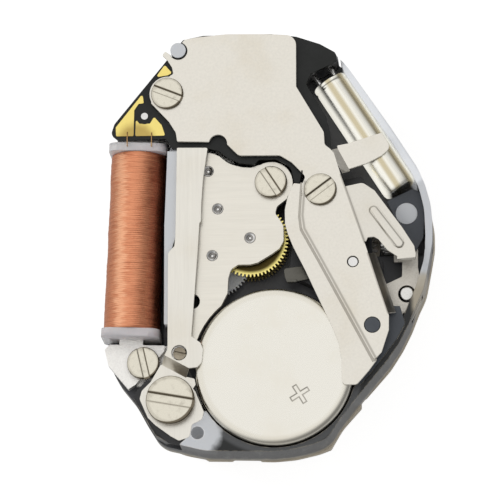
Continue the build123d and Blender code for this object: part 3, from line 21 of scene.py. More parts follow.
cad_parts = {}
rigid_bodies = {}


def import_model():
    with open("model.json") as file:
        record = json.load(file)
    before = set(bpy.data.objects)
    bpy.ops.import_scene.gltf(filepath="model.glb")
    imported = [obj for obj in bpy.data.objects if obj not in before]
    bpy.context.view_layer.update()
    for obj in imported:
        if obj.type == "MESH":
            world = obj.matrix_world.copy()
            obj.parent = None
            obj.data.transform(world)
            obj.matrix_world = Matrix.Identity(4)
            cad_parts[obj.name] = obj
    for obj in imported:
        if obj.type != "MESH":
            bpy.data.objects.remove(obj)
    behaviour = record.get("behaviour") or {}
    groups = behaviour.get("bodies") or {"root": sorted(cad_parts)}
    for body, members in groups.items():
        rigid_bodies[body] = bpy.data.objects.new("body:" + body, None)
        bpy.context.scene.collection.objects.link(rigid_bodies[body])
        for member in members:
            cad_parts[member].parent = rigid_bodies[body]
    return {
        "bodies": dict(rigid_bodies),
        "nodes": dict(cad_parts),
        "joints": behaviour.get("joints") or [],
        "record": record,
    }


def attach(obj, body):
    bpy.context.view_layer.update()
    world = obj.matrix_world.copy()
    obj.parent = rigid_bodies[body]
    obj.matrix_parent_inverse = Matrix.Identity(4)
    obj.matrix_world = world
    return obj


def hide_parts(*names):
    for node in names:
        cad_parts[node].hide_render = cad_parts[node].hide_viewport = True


MM = 0.001
FULL_TURN = 2 * math.pi
Colour = tuple[float, float, float]
Point = tuple[float, float]
Range = tuple[float, float]
LOG = logging.getLogger("movement")

UNLIT: Colour = (0.0, 0.0, 0.0)
FULL_WHITE: Colour = (1.0, 1.0, 1.0)
STEEL: Colour = (0.79, 0.755, 0.68)
CELL_SPOT: Point = (1.04, -5.58)
CAN_SPOT: Point = (4.87, 4.54)
CAN_DIRECTION = -57.7
MILK_REACH = (0.9, 0.95, 1.0)


class Grain(Enum):
    """How much a metal sheet's noise is drawn out along x and y by its brushing."""

    NONE = (1.0, 1.0)
    ALONG_X = (0.05, 1.0)
    ALONG_Y = (1.0, 0.05)


class Signal:
    """Output socket of a shader node, with arithmetic that adds Math nodes."""

    def __init__(self, graph: "Graph", socket: bpy.types.NodeSocket) -> None:
        """Keeps the graph and the socket."""
        self.graph = graph
        self.socket = socket

    def __add__(self, other: "Value") -> "Signal":
        """Sum."""
        return self.graph.math("ADD", self, other)

    __radd__ = __add__

    def __mul__(self, other: "Value") -> "Signal":
        """Product."""
        return self.graph.math("MULTIPLY", self, other)

    __rmul__ = __mul__

    def __sub__(self, other: "Value") -> "Signal":
        """Difference."""
        return self.graph.math("SUBTRACT", self, other)

    def __rsub__(self, other: "Value") -> "Signal":
        """Difference, from a number."""
        return self.graph.math("SUBTRACT", other, self)

    def __truediv__(self, other: "Value") -> "Signal":
        """Quotient."""
        return self.graph.math("DIVIDE", self, other)

    def __abs__(self) -> "Signal":
        """Size without its sign."""
        return self.graph.math("ABSOLUTE", self)


Value = Union[Signal, float, int]


class Graph:
    """Node tree of one material or world, with one method that adds any node."""

    bevel_samples = 4
    edge_lean: Range = (0.01, 0.12)

    def __init__(self, owner: str | bpy.types.World) -> None:
        """Empties the tree of a world, or of a new material.

        Args:
            owner: The world, or the new material's name.
        """
        self.owner = bpy.data.materials.new(owner) if isinstance(owner, str) else owner
        self.owner.use_nodes = True
        self.tree = self.owner.node_tree
        self.tree.nodes.clear()

    def node(
        self,
        kind: str,
        settings: dict[str, Any] | None = None,
        inputs: dict[str | int, Any] | None = None,
        output: str | int = 0,
    ) -> Signal:
        """Adds one node.

        Args:
            kind: The node's type, without the words ShaderNode.
            settings: Its properties, set first.
            inputs: Values or signals for its input sockets, by name or number.
            output: Name or number of the output that is returned.

        Returns:
            The chosen output as a signal.
        """
        made = self.tree.nodes.new("ShaderNode" + kind)
        for key, value in (settings or {}).items():
            setattr(made, key, value)
        for key, value in (inputs or {}).items():
            socket = made.inputs[key]
            if isinstance(value, Signal):
                self.tree.links.new(value.socket, socket)
            elif isinstance(value, tuple) and socket.type == "RGBA":
                socket.default_value = (*value, 1.0)
            else:
                socket.default_value = value
        return Signal(self, made.outputs[output])

    def math(self, operation: str, *values: Value) -> Signal:
        """Adds a Math node on the given values."""
        return self.node("Math", {"operation": operation}, dict(enumerate(values)))

    def most(self, first: Value, *others: Value) -> Value:
        """Largest of the values."""
        for other in others:
            first = self.math("MAXIMUM", first, other)
        return first

    def least(self, first: Value, second: Value) -> Signal:
        """Smaller of two values."""
        return self.math("MINIMUM", first, second)

    def place(self) -> Signal:
        """Object coordinates, in metres."""
        return self.node("TexCoord", output="Object")

    def chart(self) -> Signal:
        """The piece's own UV map."""
        return self.node("TexCoord", output="UV")

    def attribute(self, name: str) -> Signal:
        """A number that the piece's mesh stores."""
        return self.node("Attribute", {"attribute_name": name}, output="Fac")

    def moved(self, vector: Signal, size: Sequence[float] = (1.0, 1.0, 1.0), turn: float = 0.0) -> Signal:
        """Coordinates after a Mapping node that scales them and turns them about the third axis."""
        return self.node("Mapping", None, {0: vector, 2: (0.0, 0.0, turn), 3: tuple(size)})

    def parts(self, vector: Signal) -> tuple[Signal, ...]:
        """The three numbers of a vector."""
        made = self.node("SeparateXYZ", None, {0: vector}).socket.node
        return tuple(Signal(self, made.outputs[axis]) for axis in range(3))

    def noise(self, vector: Signal, scale: float, detail: float = 2.0, roughness: float = 0.5) -> Signal:
        """Noise from 0 to 1 at a scale in features a unit of the coordinates."""
        inputs = {"Vector": vector, "Scale": scale, "Detail": detail, "Roughness": roughness}
        return self.node("TexNoise", None, inputs)

    def band(self, value: Value, low: float, high: float) -> Signal:
        """Smooth step from 0 at low to 1 at high."""
        settings = {"interpolation_type": "SMOOTHSTEP"}
        return self.node("MapRange", settings, {0: value, 1: low, 2: high, 3: 0.0, 4: 1.0})

    def fade(self, value: Value, low: float, high: float) -> Signal:
        """Smooth step from 1 at low to 0 at high."""
        return 1.0 - self.band(value, low, high)

    def between(self, value: Value, low: float, high: float) -> Signal:
        """Value from 0 to 1 carried to the range from low to high, and held inside it."""
        return self.node("MapRange", None, {0: value, 1: 0.0, 2: 1.0, 3: low, 4: high})

    def mix(self, share: Value, first: Any, second: Any) -> Signal:
        """Two colours mixed by a share."""
        return self.node("Mix", {"data_type": "RGBA"}, {0: share, 6: first, 7: second}, 2)

    def length(self, across: Signal, along: Signal) -> Signal:
        """Length of a pair of numbers."""
        return self.math("SQRT", across * across + along * along)

    def offset(self, vector: Signal, spot: Sequence[float]) -> tuple[Signal, Signal]:
        """Millimetres in plan from a spot in millimetres to coordinates in metres."""
        x, y, _ = self.parts(vector)
        return x / MM - spot[0], y / MM - spot[1]

    def distance(self, vector: Signal, spot: Sequence[float]) -> Signal:
        """Distance in plan of the coordinates from a spot, in millimetres."""
        return self.length(*self.offset(vector, spot))

    def span(self, vector: Signal, start: Sequence[float], end: Sequence[float]) -> Signal:
        """Distance in plan from the line between two spots.

        The share along the line is the dot product with its direction over its length, held from 0 to 1.

        Args:
            vector: Coordinates in metres.
            start: First spot, in millimetres.
            end: Second spot, in millimetres.

        Returns:
            The distance in millimetres.
        """
        step = (end[0] - start[0], end[1] - start[1])
        across, along = self.offset(vector, start)
        share = (across * step[0] + along * step[1]) / (step[0] ** 2 + step[1] ** 2)
        share = self.between(share, 0.0, 1.0)
        return self.length(across - share * step[0], along - share * step[1])

    def rounded(self, reach: float) -> Signal:
        """Normal softened over a reach in millimetres."""
        return self.node("Bevel", {"samples": self.bevel_samples}, {"Radius": reach * MM})

    def edges(self, reach: float) -> Signal:
        """Nearness to an edge, from 0 to 1: how far a softened normal leans from the true one.

        Args:
            reach: How far an edge is felt, in millimetres.

        Returns:
            The share.
        """
        true = self.node("NewGeometry", output="True Normal")
        inputs = {0: self.rounded(reach), 1: true}
        lean = self.node("VectorMath", {"operation": "DOT_PRODUCT"}, inputs, "Value")
        return self.band(1.0 - lean, *self.edge_lean)

    def relief(self, height: Signal, depth: float, edge: float | None = None) -> Signal:
        """Normal from a height and, where it is given, a softly rounded edge.

        Args:
            height: Height of the surface, in shares of the depth.
            depth: Depth in millimetres.
            edge: Radius of the rounded edge in millimetres, or None.

        Returns:
            The normal.
        """
        inputs = {"Strength": 1.0, "Distance": depth * MM, "Height": height}
        if edge is not None:
            inputs["Normal"] = self.rounded(edge)
        return self.node("Bump", None, inputs)

    def finish(self, inputs: dict[str, Any]) -> bpy.types.Material:
        """Adds the surface shader and the output, and returns the material."""
        self.close(self.node("BsdfPrincipled", None, inputs))
        return self.owner

    def metal(self, shade: Signal, gloss: Value, normal: Signal, share: Value = 1.0) -> bpy.types.Material:
        """The material of a metal with this colour, roughness, normal and metallic share."""
        return self.finish({"Base Color": shade, "Metallic": share, "Roughness": gloss, "Normal": normal})

    def close(self, surface: Signal, kind: str = "OutputMaterial") -> None:
        """Links a surface to an output node of that type."""
        made = self.tree.nodes.new("ShaderNode" + kind)
        self.tree.links.new(surface.socket, made.inputs["Surface"])


@dataclass(frozen=True)
class Finish:
    """A surface finish that can dress a piece."""

    name: str

    def make(self) -> bpy.types.Material:
        """Builds the material."""
        raise NotImplementedError


@dataclass(frozen=True)
class SheetMetal(Finish):
    """Rolled or brushed metal sheet: fine grain, faint blotches and a soft worn edge."""

    colour: Colour = (0.80, 0.77, 0.70)
    tint: Colour = (0.72, 0.67, 0.56)
    roughness: float = 0.36
    grain: Grain = Grain.NONE
    grain_depth: float = 0.0035
    blotch: float = 0.35
    edge: float = 0.02
    # colour of the painted shade in folds, rib outlines and the stamped sign's outline
    crease_shade: Colour = (0.16, 0.14, 0.11)
    flank: float = 0.5
    grain_scale: float = 9000.0
    speckle_scale: float = 14000.0
    blotch_scale: float = 420.0
    blotched: Range = (0.45, 0.8)
    grain_tone: Range = (0.86, 1.08)
    facing: Range = (0.35, 0.65)
    press_height: float = 6.0
    press_shade: float = 0.55

    def wear(self, graph: Graph, place: Signal) -> tuple[Signal, Signal]:
        """Fine speckle from 0 to 1, and the share of the tint in the blotches.

        Args:
            graph: The material's node tree.
            place: Object coordinates.

        Returns:
            Speckle and stain.
        """
        speckle = graph.noise(place, self.speckle_scale, 2.0, 0.6)
        blotch = graph.noise(place, self.blotch_scale, 4.0, 0.6)
        return speckle, graph.band(blotch, *self.blotched) * self.blotch

    def pressed(self, graph: Graph, place: Signal) -> tuple[Signal, Signal] | None:
        """Height of what is pressed into the sheet, and its painted shade: none on a plain one."""
        return None

    def make(self) -> bpy.types.Material:
        """Grain is noise stretched along the brushing, and blotches are slow noise.

        Both shift colour and gloss, and what is pressed in adds its height and painted shade. A wall, which
        looks neither up nor down, is less metallic by the flank's share.

        Returns:
            The material.
        """
        graph = Graph(self.name)
        place = graph.place()
        brushed = graph.moved(place, (*self.grain.value, 1.0))
        grain = graph.noise(brushed, self.grain_scale, 3.0, 0.65)
        speckle, stain = self.wear(graph, place)
        tone = graph.between(grain, *self.grain_tone)
        shade = graph.mix(stain, self.colour, self.tint)
        shade = graph.node("VectorMath", {"operation": "SCALE"}, {0: shade, 3: tone})
        gloss = self.roughness + (grain - 0.5) * 0.22 + stain * 0.12
        height = grain * 0.6 + speckle * 0.4
        pressed = self.pressed(graph, place)
        if pressed is not None:
            rise, dark = pressed
            height = height + rise * self.press_height
            # painted shade: what is pressed in darkens towards the painted shade colour
            shade = graph.mix(dark * self.press_shade, shade, self.crease_shade)
        normal = graph.relief(height, self.grain_depth, self.edge)
        wall = graph.fade(abs(graph.attribute("upward")), *self.facing)
        return graph.metal(shade, gloss, normal, 1.0 - wall * self.flank)


@dataclass(frozen=True)
class FoldedSheet(SheetMetal):
    """Sheet metal with soft folds and a grooved outline round each rib, given by their lines in plan, with
    painted shade along both.
    """

    folds: tuple[tuple[float, float, float, float], ...] = ()
    ribs: tuple[tuple[float, float, float, float, float], ...] = ()
    lean_from: Range = (0.30, 0.50)
    lean_to: Range = (0.93, 0.99)
    # shaded, ridge_line and groove_line are reaches of painted shade
    shaded: Range = (0.20, 0.30)
    ridge: Range = (0.0, 0.12)
    ridge_line: Range = (0.020, 0.075)
    groove: Range = (0.0, 0.06)
    groove_line: Range = (0.010, 0.045)

    def pressed(self, graph: Graph, place: Signal) -> tuple[Signal, Signal]:
        """Height and painted shade of the folds and ribs.

        A fold is a low ridge with a fine line of painted shade on it, and leaning faces near it take painted
        shade. A rib's outline is a narrow groove at the rib's radius from its middle line, with a painted
        shade line.

        Args:
            graph: The material's node tree.
            place: Object coordinates.

        Returns:
            Height, in shares of the press height, and painted shade.
        """
        upward = graph.attribute("upward")
        lean = graph.band(upward, *self.lean_from) * graph.fade(upward, *self.lean_to)
        far = [graph.span(place, fold[:2], fold[2:]) for fold in self.folds]
        near = graph.most(*[graph.fade(each, *self.shaded) for each in far])
        rise = graph.most(*[graph.fade(each, *self.ridge) for each in far]) * 0.4
        # painted shade: a dark line on each fold, and shade on leaning faces near it
        lines = [graph.fade(each, *self.ridge_line) * 0.9 for each in far]
        dark = graph.most(*lines, near * lean)
        for *line, radius in self.ribs:
            far_off = abs(graph.span(place, line[:2], line[2:]) - radius)
            rise = rise - graph.fade(far_off, *self.groove) * 0.6
            # painted shade: a dark line along each rib's outline
            dark = graph.most(dark, graph.fade(far_off, *self.groove_line))
        return rise, dark


@dataclass(frozen=True)
class BlastedMetal(Finish):
    """Sand-blasted metal: a matt grey skin of small dimples."""

    colour: Colour = (0.66, 0.64, 0.60)
    tint: Colour = (0.50, 0.47, 0.42)
    roughness: float = 0.52
    depth: float = 0.010
    edge: float = 0.02
    dimple_scale: float = 13000.0
    skin_scale: float = 22000.0
    stain_scale: float = 700.0

    def make(self) -> bpy.types.Material:
        """Dimples are cells of two sizes, and the hollows are a little darker.

        Returns:
            The material.
        """
        graph = Graph(self.name)
        place = graph.place()
        cells = graph.node("TexVoronoi", None, {"Vector": place, "Scale": self.dimple_scale})
        fine = graph.noise(place, self.skin_scale, 3.0, 0.7)
        slow = graph.noise(place, self.stain_scale, 3.0, 0.6)
        height = cells * 0.6 + fine * 0.5
        dark = graph.band(1.0 - height, 0.3, 0.9) * 0.45 + graph.band(slow, 0.5, 0.8) * 0.25
        shade = graph.mix(dark, self.colour, self.tint)
        normal = graph.relief(height, self.depth, self.edge)
        gloss = graph.between(fine, self.roughness - 0.1, self.roughness + 0.12)
        return graph.metal(shade, gloss, normal)


@dataclass(frozen=True)
class TurnedMetal(Finish):
    """Lathe-turned metal, read from a chart whose middle is the piece's axis and whose edge is at one."""

    colour: Colour = (0.80, 0.77, 0.69)
    tint: Colour = (0.60, 0.53, 0.41)
    roughness: float = 0.26
    rings: float = 26.0
    ring_depth: float = 0.004
    slot: float = 0.0
    edge: float = 0.018
    # a darker band towards the rim
    worn: Range = (0.80, 0.92)
    # crescent, flank and brink are reaches of painted shade on a slotted head
    crescent: Range = (0.99, 1.02)
    flank: Range = (0.015, 0.075)
    brink: Range = (0.955, 0.99)
    most_wear: float = 0.8
    most_dark: float = 0.95
    scratch_turn: float = 0.6

    def slotted(self, graph: Graph, v: Signal, radius: Signal, wear: Signal) -> Value:
        """Darkness of a slotted head: stains, a band towards the rim, and painted shade: a crescent on one
        side, the slot's flanks and the rim.

        The painted shadow crescent is where the mesh's lee, a distance from a spot beside the axis, passes
        one. The painted shade at the flanks is lines at the slot's half width, and the far one is darker.

        Args:
            graph: The material's node tree.
            v: The chart's second number, across the slot.
            radius: The chart's distance from the axis.
            wear: Darkness of stains and of a band towards the rim.

        Returns:
            The darkness.
        """
        # painted shadow: a crescent on the side away from the light
        crescent = graph.band(graph.attribute("lee"), *self.crescent)
        near = graph.band(v, -0.05, 0.05) * 0.45 + 0.50
        # painted shade at the slot's flanks, darker on the far one
        flanks = graph.fade(abs(abs(v) - self.slot), *self.flank) * near
        worn = graph.least(wear, self.most_wear)
        # painted shade: the rim's brink is dark
        return graph.most(worn, crescent, flanks, graph.band(radius, *self.brink))

    def make(self) -> bpy.types.Material:
        """Rings are a wave of the distance from the axis; stains and a band towards the rim darken the metal,
        and a slot adds painted shade.

        Returns:
            The material.
        """
        graph = Graph(self.name)
        chart = graph.chart()
        u, v, _ = graph.parts(chart)
        radius = graph.length(u, v)
        smear = graph.noise(chart, 3.0, 3.0, 0.6)
        rings = graph.math("SINE", (radius + smear * 0.03) * (self.rings * FULL_TURN))
        drawn = graph.moved(chart, (1.5, 40.0, 1.0), self.scratch_turn)
        scratch = graph.noise(drawn, 1.5, 2.0, 0.7)
        stain = graph.band(smear, 0.48, 0.78) * 0.30
        dark = stain + graph.band(radius, *self.worn) * 0.25
        if self.slot > 0:
            dark = self.slotted(graph, v, radius, dark)
        shade = graph.mix(graph.least(dark, self.most_dark), self.colour, self.tint)
        gloss = self.roughness + (scratch - 0.5) * 0.18 + stain * 0.15
        normal = graph.relief(rings * 0.12 + scratch * 0.5, self.ring_depth, self.edge)
        return graph.metal(shade, gloss, normal)


@dataclass(frozen=True)
class TurnedBush(TurnedMetal):
    """Turned bush: a rim and a sink round the pivot darkened by painted shade, and a bright land."""

    edge: float = 0.012
    smear_scale: float = 5000.0
    # rim, sink_from and sink_to place painted shade
    rim: Range = (0.84, 0.94)
    sink_from: Range = (0.30, 0.42)
    sink_to: Range = (0.56, 0.68)

    def make(self) -> bpy.types.Material:
        """Rings of painted shade at the rim and sink are steps of the distance from the axis, blurred by
        smears.

        Returns:
            The material.
        """
        graph = Graph(self.name)
        u, v, _ = graph.parts(graph.chart())
        smear = graph.noise(graph.place(), self.smear_scale, 2.0, 0.6)
        radius = graph.length(u, v) + (smear - 0.5) * 0.16
        # painted shade in the oil sink and at the rim
        sink = graph.band(radius, *self.sink_from) * graph.fade(radius, *self.sink_to)
        dark = graph.most(graph.band(radius, *self.rim) * 0.9, sink * 0.85)
        shade = graph.mix(dark, self.colour, self.tint)
        return graph.metal(shade, self.roughness, graph.relief(smear, self.ring_depth, self.edge))


@dataclass(frozen=True)
class DrawnCan(Finish):
    """Bright drawn can, with streaks along its axis, painted dark reflections along it and painted light on
    its sides.

    Each painted reflection has its place across the can as a share of the radius, its reach and its strength.
    """

    colour: Colour = (0.91, 0.89, 0.81)
    tint: Colour = (0.55, 0.47, 0.29)
    roughness: float = 0.25
    direction: float = 0.0
    middle: Point = (0.0, 0.0)
    radius: float = 1.0
    edge: float = 0.02
    depth: float = 0.0025
    # painted dark reflections along the can
    reflection_bands: tuple[tuple[float, Range, float], ...] = ((-0.12, (0.05, 0.28), 0.85), (0.66, (0.06, 0.26), 0.90))
    rim: Range = (0.55, 0.92)
    # strength of the painted light on the sides
    glow: float = 0.85
    streak_scale: float = 3800.0
    fine_scale: float = 16000.0
    pit_scale: float = 9000.0

    def make(self) -> bpy.types.Material:
        """Painted reflections lie along the can's direction in plan, at their share of its radius to the
        side.

        Streaks are noise drawn out along the same direction, and the sides take painted light: they glow in
        the can's colour and are less metallic.

        Returns:
            The material.
        """
        graph = Graph(self.name)
        turn = math.radians(self.direction)
        offset = self.middle[1] * math.cos(turn) - self.middle[0] * math.sin(turn)
        place = graph.moved(graph.place(), turn=-turn)
        drawn = graph.moved(place, (0.04, 1.0, 1.0))
        streak = graph.noise(drawn, self.streak_scale, 3.0, 0.6)
        fine = graph.noise(drawn, self.fine_scale, 2.0, 0.6)
        pit = graph.noise(place, self.pit_scale, 3.0, 0.7)
        side = (graph.parts(place)[1] / MM - offset) / self.radius + (streak - 0.5) * 0.10
        # painted reflections: dark shares toward the tint at fixed places across the can
        warm = [graph.fade(abs(side - at), *reach) * strength for at, reach, strength in self.reflection_bands]
        shade = graph.mix(graph.most(*warm, graph.band(streak, 0.5, 0.8) * 0.35), self.colour, self.tint)
        # painted light: the sides glow, one more than the other
        rim = graph.band(abs(side), *self.rim)
        lit = rim * (1.0 - graph.band(side, -0.1, 0.1) * 0.6)
        gloss = self.roughness + (fine - 0.5) * 0.16 + graph.band(pit, 0.6, 0.8) * 0.2
        inputs = {
            "Base Color": shade,
            "Metallic": 1.0 - rim * 0.6,
            "Roughness": gloss,
            "Normal": graph.relief(fine * 0.7 + pit * 0.3, self.depth, self.edge),
            "Emission Color": graph.mix(lit, UNLIT, shade),
            "Emission Strength": self.glow,
        }
        return graph.finish(inputs)


@dataclass(frozen=True)
class Plastic(Finish):
    """Moulded plastic: faint flow clouds, a fine skin and, where it is milky, light inside it."""

    colour: Colour = (0.5, 0.5, 0.5)
    tint: Colour = (0.4, 0.4, 0.4)
    roughness: float = 0.42
    depth: float = 0.004
    milk: float = 0.0
    clear: float = 0.0
    edge: float = 0.03
    milk_depth: float = 0.35
    cloud_scale: float = 500.0
    skin_scale: float = 12000.0

    def make(self) -> bpy.types.Material:
        """Clouds are slow noise between two colours, and the skin is fine noise.

        Returns:
            The material.
        """
        graph = Graph(self.name)
        place = graph.place()
        cloud = graph.noise(place, self.cloud_scale, 4.0, 0.6)
        skin = graph.noise(place, self.skin_scale, 3.0, 0.65)
        inputs: dict[str, Any] = {
            "Base Color": graph.mix(graph.band(cloud, 0.35, 0.7), self.colour, self.tint),
            "Roughness": graph.between(skin, self.roughness - 0.1, self.roughness + 0.12),
            "Normal": graph.relief(skin, self.depth, self.edge),
            "IOR": 1.5,
        }
        if self.milk > 0:
            inputs["Subsurface Weight"] = self.milk
            inputs["Subsurface Radius"] = MILK_REACH
            inputs["Subsurface Scale"] = self.milk_depth * MM
        if self.clear > 0:
            inputs["Transmission Weight"] = self.clear
        return graph.finish(inputs)


@dataclass(frozen=True)
class MilkyPlate(Finish):
    """Moulded milky plastic whose colour holds painted light and shade: pale on its upper faces and dark
    where it is deep, thin or shaded.

    The two spots are the spacer block and the cell, and the can is the crystal's, beside a thin wall.
    """

    # pale is painted light; dark, wall and well are painted shade on high, upright and low faces; beyond is
    # paler painted light
    pale: Colour = (0.79, 0.81, 0.84)
    dark: Colour = (0.018, 0.019, 0.019)
    wall: Colour = (0.035, 0.035, 0.036)
    well: Colour = (0.085, 0.086, 0.092)
    brown: Colour = (0.48, 0.43, 0.34)
    streaked: Colour = (0.22, 0.22, 0.21)
    beyond: Colour = (0.40, 0.42, 0.44)
    spacer: Point = (-2.22, -8.33)
    cell: Point = CELL_SPOT
    can: Point = CAN_SPOT
    can_direction: float = CAN_DIRECTION
    facing: Range = (0.45, 0.9)
    top: Range = (1.25, 1.95)
    north: Range = (-2.6, -1.2)
    spacer_reach: Range = (0.80, 1.15)
    spacer_hole: Range = (0.26, 0.34)
    cell_lip: Range = (3.60, 3.80)
    rail_x: float = -3.34
    rail_half: Range = (0.32, 0.40)
    rail_end: Range = (3.9, 4.1)
    rail_height: Range = (2.2, 2.4)
    slit_from: Range = (0.50, 0.65)
    slit_to: Range = (0.95, 1.15)
    slit_end: Range = (2.95, 3.15)
    slit_height: Range = (0.9, 1.3)
    beyond_reach: Range = (0.9, 1.3)
    foot_height: Range = (0.30, 0.75)
    east_x: Range = (6.70, 6.95)
    east_from: Range = (-3.5, -3.0)
    east_to: Range = (-1.8, -1.4)
    rim_reach: float = 0.07
    rim_broken: Range = (0.55, 0.85)
    cloud_scale: float = 700.0
    streak_scale: float = 2600.0
    skin_scale: float = 12000.0
    depth: float = 0.006
    edge: float = 0.035
    # strength of the painted glow
    glow: float = 0.30
    milk: float = 0.15
    milk_depth: float = 0.20

    def make(self) -> bpy.types.Material:
        """The pale share is painted light: it follows how far a face looks up, its height and its place along
        the plate.

        A faint painted glow stands for light through the thin wall beside the can and the spacer's hole. The
        foot of the outer wall, the edge beside the setting lever and the rim's corners take a warm metal
        tone.

        Returns:
            The material.
        """
        graph = Graph(self.name)
        place = graph.place()
        x, y, z = (part / MM for part in graph.parts(place))
        cloud = graph.noise(place, self.cloud_scale, 4.0, 0.6)
        streak = graph.noise(graph.moved(place, (1.0, 1.0, 0.25)), self.streak_scale, 3.0, 0.65)
        skin = graph.noise(place, self.skin_scale, 3.0, 0.65)
        level = graph.band(graph.attribute("upward"), *self.facing)
        high = graph.band(z, *self.top)

        # pale share, painted light: near the north end, the spacer block, the cell's lip and the rail
        north = graph.band(y + (cloud - 0.5) * 1.4, *self.north)
        from_spacer = graph.distance(place, self.spacer)
        spacer = graph.fade(from_spacer + (cloud - 0.5) * 0.8, *self.spacer_reach)
        lip = graph.fade(graph.distance(place, self.cell), *self.cell_lip) * 0.11
        rail = graph.fade(abs(x - self.rail_x), *self.rail_half)
        rail = rail * graph.fade(abs(y), *self.rail_end) * graph.band(z, *self.rail_height)
        pale = high * graph.most(north, spacer, lip) * (level * 0.9 + 0.10)

        turn = math.radians(self.can_direction)
        across = (y - self.can[1]) * math.cos(turn) - (x - self.can[0]) * math.sin(turn)
        along = (x - self.can[0]) * math.cos(turn) + (y - self.can[1]) * math.sin(turn)
        # painted glow: light through the thin wall beside the can and the spacer's hole
        slit = graph.band(across, *self.slit_from) * graph.fade(across, *self.slit_to)
        slit = slit * graph.fade(abs(along), *self.slit_end) * graph.band(z, *self.slit_height)
        glow = graph.most(slit * 0.8, graph.fade(from_spacer, *self.spacer_hole) * 0.45)

        # painted shade: high, upright and low faces darken outside the pale share
        base = graph.mix(level, self.wall, graph.mix(high, self.well, self.dark))
        shade = graph.mix(graph.most(pale, rail, glow * 0.8), base, self.pale)
        shade = graph.mix(graph.band(streak, 0.50, 0.80) * (1.0 - level) * 0.5, shade, self.streaked)
        # painted light: paler grey beyond the crystal can
        shade = graph.mix(graph.band(across, *self.beyond_reach) * high * 0.35, shade, self.beyond)

        foot = graph.fade(z + (streak - 0.5) * 0.5, *self.foot_height) * (1.0 - level) * 0.75
        east = graph.band(x, *self.east_x) * graph.band(y, *self.east_from)
        east = east * graph.fade(y, *self.east_to) * 0.8
        rim = graph.edges(self.rim_reach) * graph.band(streak + skin * 0.5, *self.rim_broken)
        rim = rim * (1.0 - north) * 0.8
        brown = graph.most(foot, east, rim * high)
        inputs = {
            "Base Color": graph.mix(brown, shade, self.brown),
            "Metallic": brown * 0.8,
            "Roughness": graph.between(skin, 0.22, 0.42),
            "Normal": graph.relief(skin * 0.6 + streak * 0.5, self.depth, self.edge),
            # the painted glow
            "Emission Color": graph.mix(glow, UNLIT, self.pale),
            "Emission Strength": self.glow,
            "Specular IOR Level": 0.32,
            "Subsurface Weight": self.milk,
            "Subsurface Radius": MILK_REACH,
            "Subsurface Scale": self.milk_depth * MM,
        }
        return graph.finish(inputs)


@dataclass(frozen=True)
class StampedCan(SheetMetal):
    """Plated can of the cell, with a plus sign stamped in its face."""

    centre: Point = CELL_SPOT
    mark: Point = (2.10, -6.80)
    turn: float = 32.0
    arm: float = 0.42
    width: float = 0.085
    radius: float = 3.35
    # colour of the painted shade near the shoulder
    shoulder: Colour = (0.58, 0.53, 0.42)
    shoulder_in: Range = (0.42, 0.24)
    outline: Range = (0.012, 0.042)
    brink: Range = (-0.02, 0.03)
    wobble_scale: float = 3000.0

    def make(self) -> bpy.types.Material:
        """The sign's edge is where the larger of two box distances, each across one bar, meets nought.

        Its outline is painted shade, and a soft ring of painted shade darkens the face near the shoulder.

        Returns:
            The material.
        """
        graph = Graph(self.name)
        place = graph.place()
        speckle, stain = self.wear(graph, place)
        wobble = (graph.noise(place, self.wobble_scale, 2.0, 0.5) - 0.5) * 0.03
        spot = (self.mark[0] * MM, self.mark[1] * MM, 0.0)
        shifted = graph.node("VectorMath", {"operation": "SUBTRACT"}, {0: place, 1: spot})
        turned = graph.moved(shifted, turn=-math.radians(self.turn))
        u, v = (abs(part / MM) for part in graph.parts(turned)[:2])
        bars = [graph.most(long - self.arm, wide - self.width + wobble) for long, wide in ((u, v), (v, u))]
        inside = graph.least(*bars)
        line = graph.fade(abs(inside), *self.outline)
        start, end = (self.radius - inset for inset in self.shoulder_in)
        ring = graph.band(graph.distance(place, self.centre), start, end)
        shade = graph.mix(stain, self.colour, self.tint)
        # painted shade along the sign's outline
        shade = graph.mix(line * 0.65, shade, self.crease_shade)
        # painted shade in a ring near the shoulder
        shade = graph.mix(ring * 0.30, shade, self.shoulder)
        height = speckle * 0.05 + graph.band(inside, *self.brink) * 5.0
        normal = graph.relief(height, self.grain_depth, self.edge)
        gloss = self.roughness + (speckle - 0.5) * 0.06 + stain * 0.12
        return graph.metal(shade, gloss, normal)


@dataclass(frozen=True)
class WheelMetal(Finish):
    """Cut wheel in brass, bright on its teeth and, inside a given radius, darkened by painted shade."""

    colour: Colour = (0.93, 0.80, 0.28)
    tint: Colour = (0.11, 0.080, 0.022)
    centre: Point = (0.0, 0.0)
    shade_radius: float = 0.0
    roughness: float = 0.30
    shade_ease: float = 0.20
    ring_turn: float = 180.0
    cloud_scale: float = 1500.0
    fine_scale: float = 9000.0
    depth: float = 0.003
    edge: float = 0.004

    def make(self) -> bpy.types.Material:
        """The painted shade is a soft step of the distance from the axis, and turning rings are waves of it.

        Returns:
            The material.
        """
        graph = Graph(self.name)
        place = graph.place()
        far = graph.distance(place, self.centre)
        cloud = graph.noise(place, self.cloud_scale, 3.0, 0.6)
        rings = graph.math("SINE", far * self.ring_turn)
        fine = graph.noise(place, self.fine_scale, 3.0, 0.6)
        dark = graph.band(cloud, 0.5, 0.8) * 0.25
        # painted shade inside the given radius, where the wheel lies under the bridge
        if self.shade_radius > 0:
            step = graph.band(far + (cloud - 0.5) * 0.06, self.shade_radius - self.shade_ease, self.shade_radius)
            dark = dark * 0.4 + 1.0 - step
        shade = graph.mix(graph.least(dark, 1.0), self.colour, self.tint)
        gloss = self.roughness + (fine - 0.5) * 0.16
        return graph.metal(shade, gloss, graph.relief(rings * 0.2 + fine * 0.5, self.depth, self.edge))


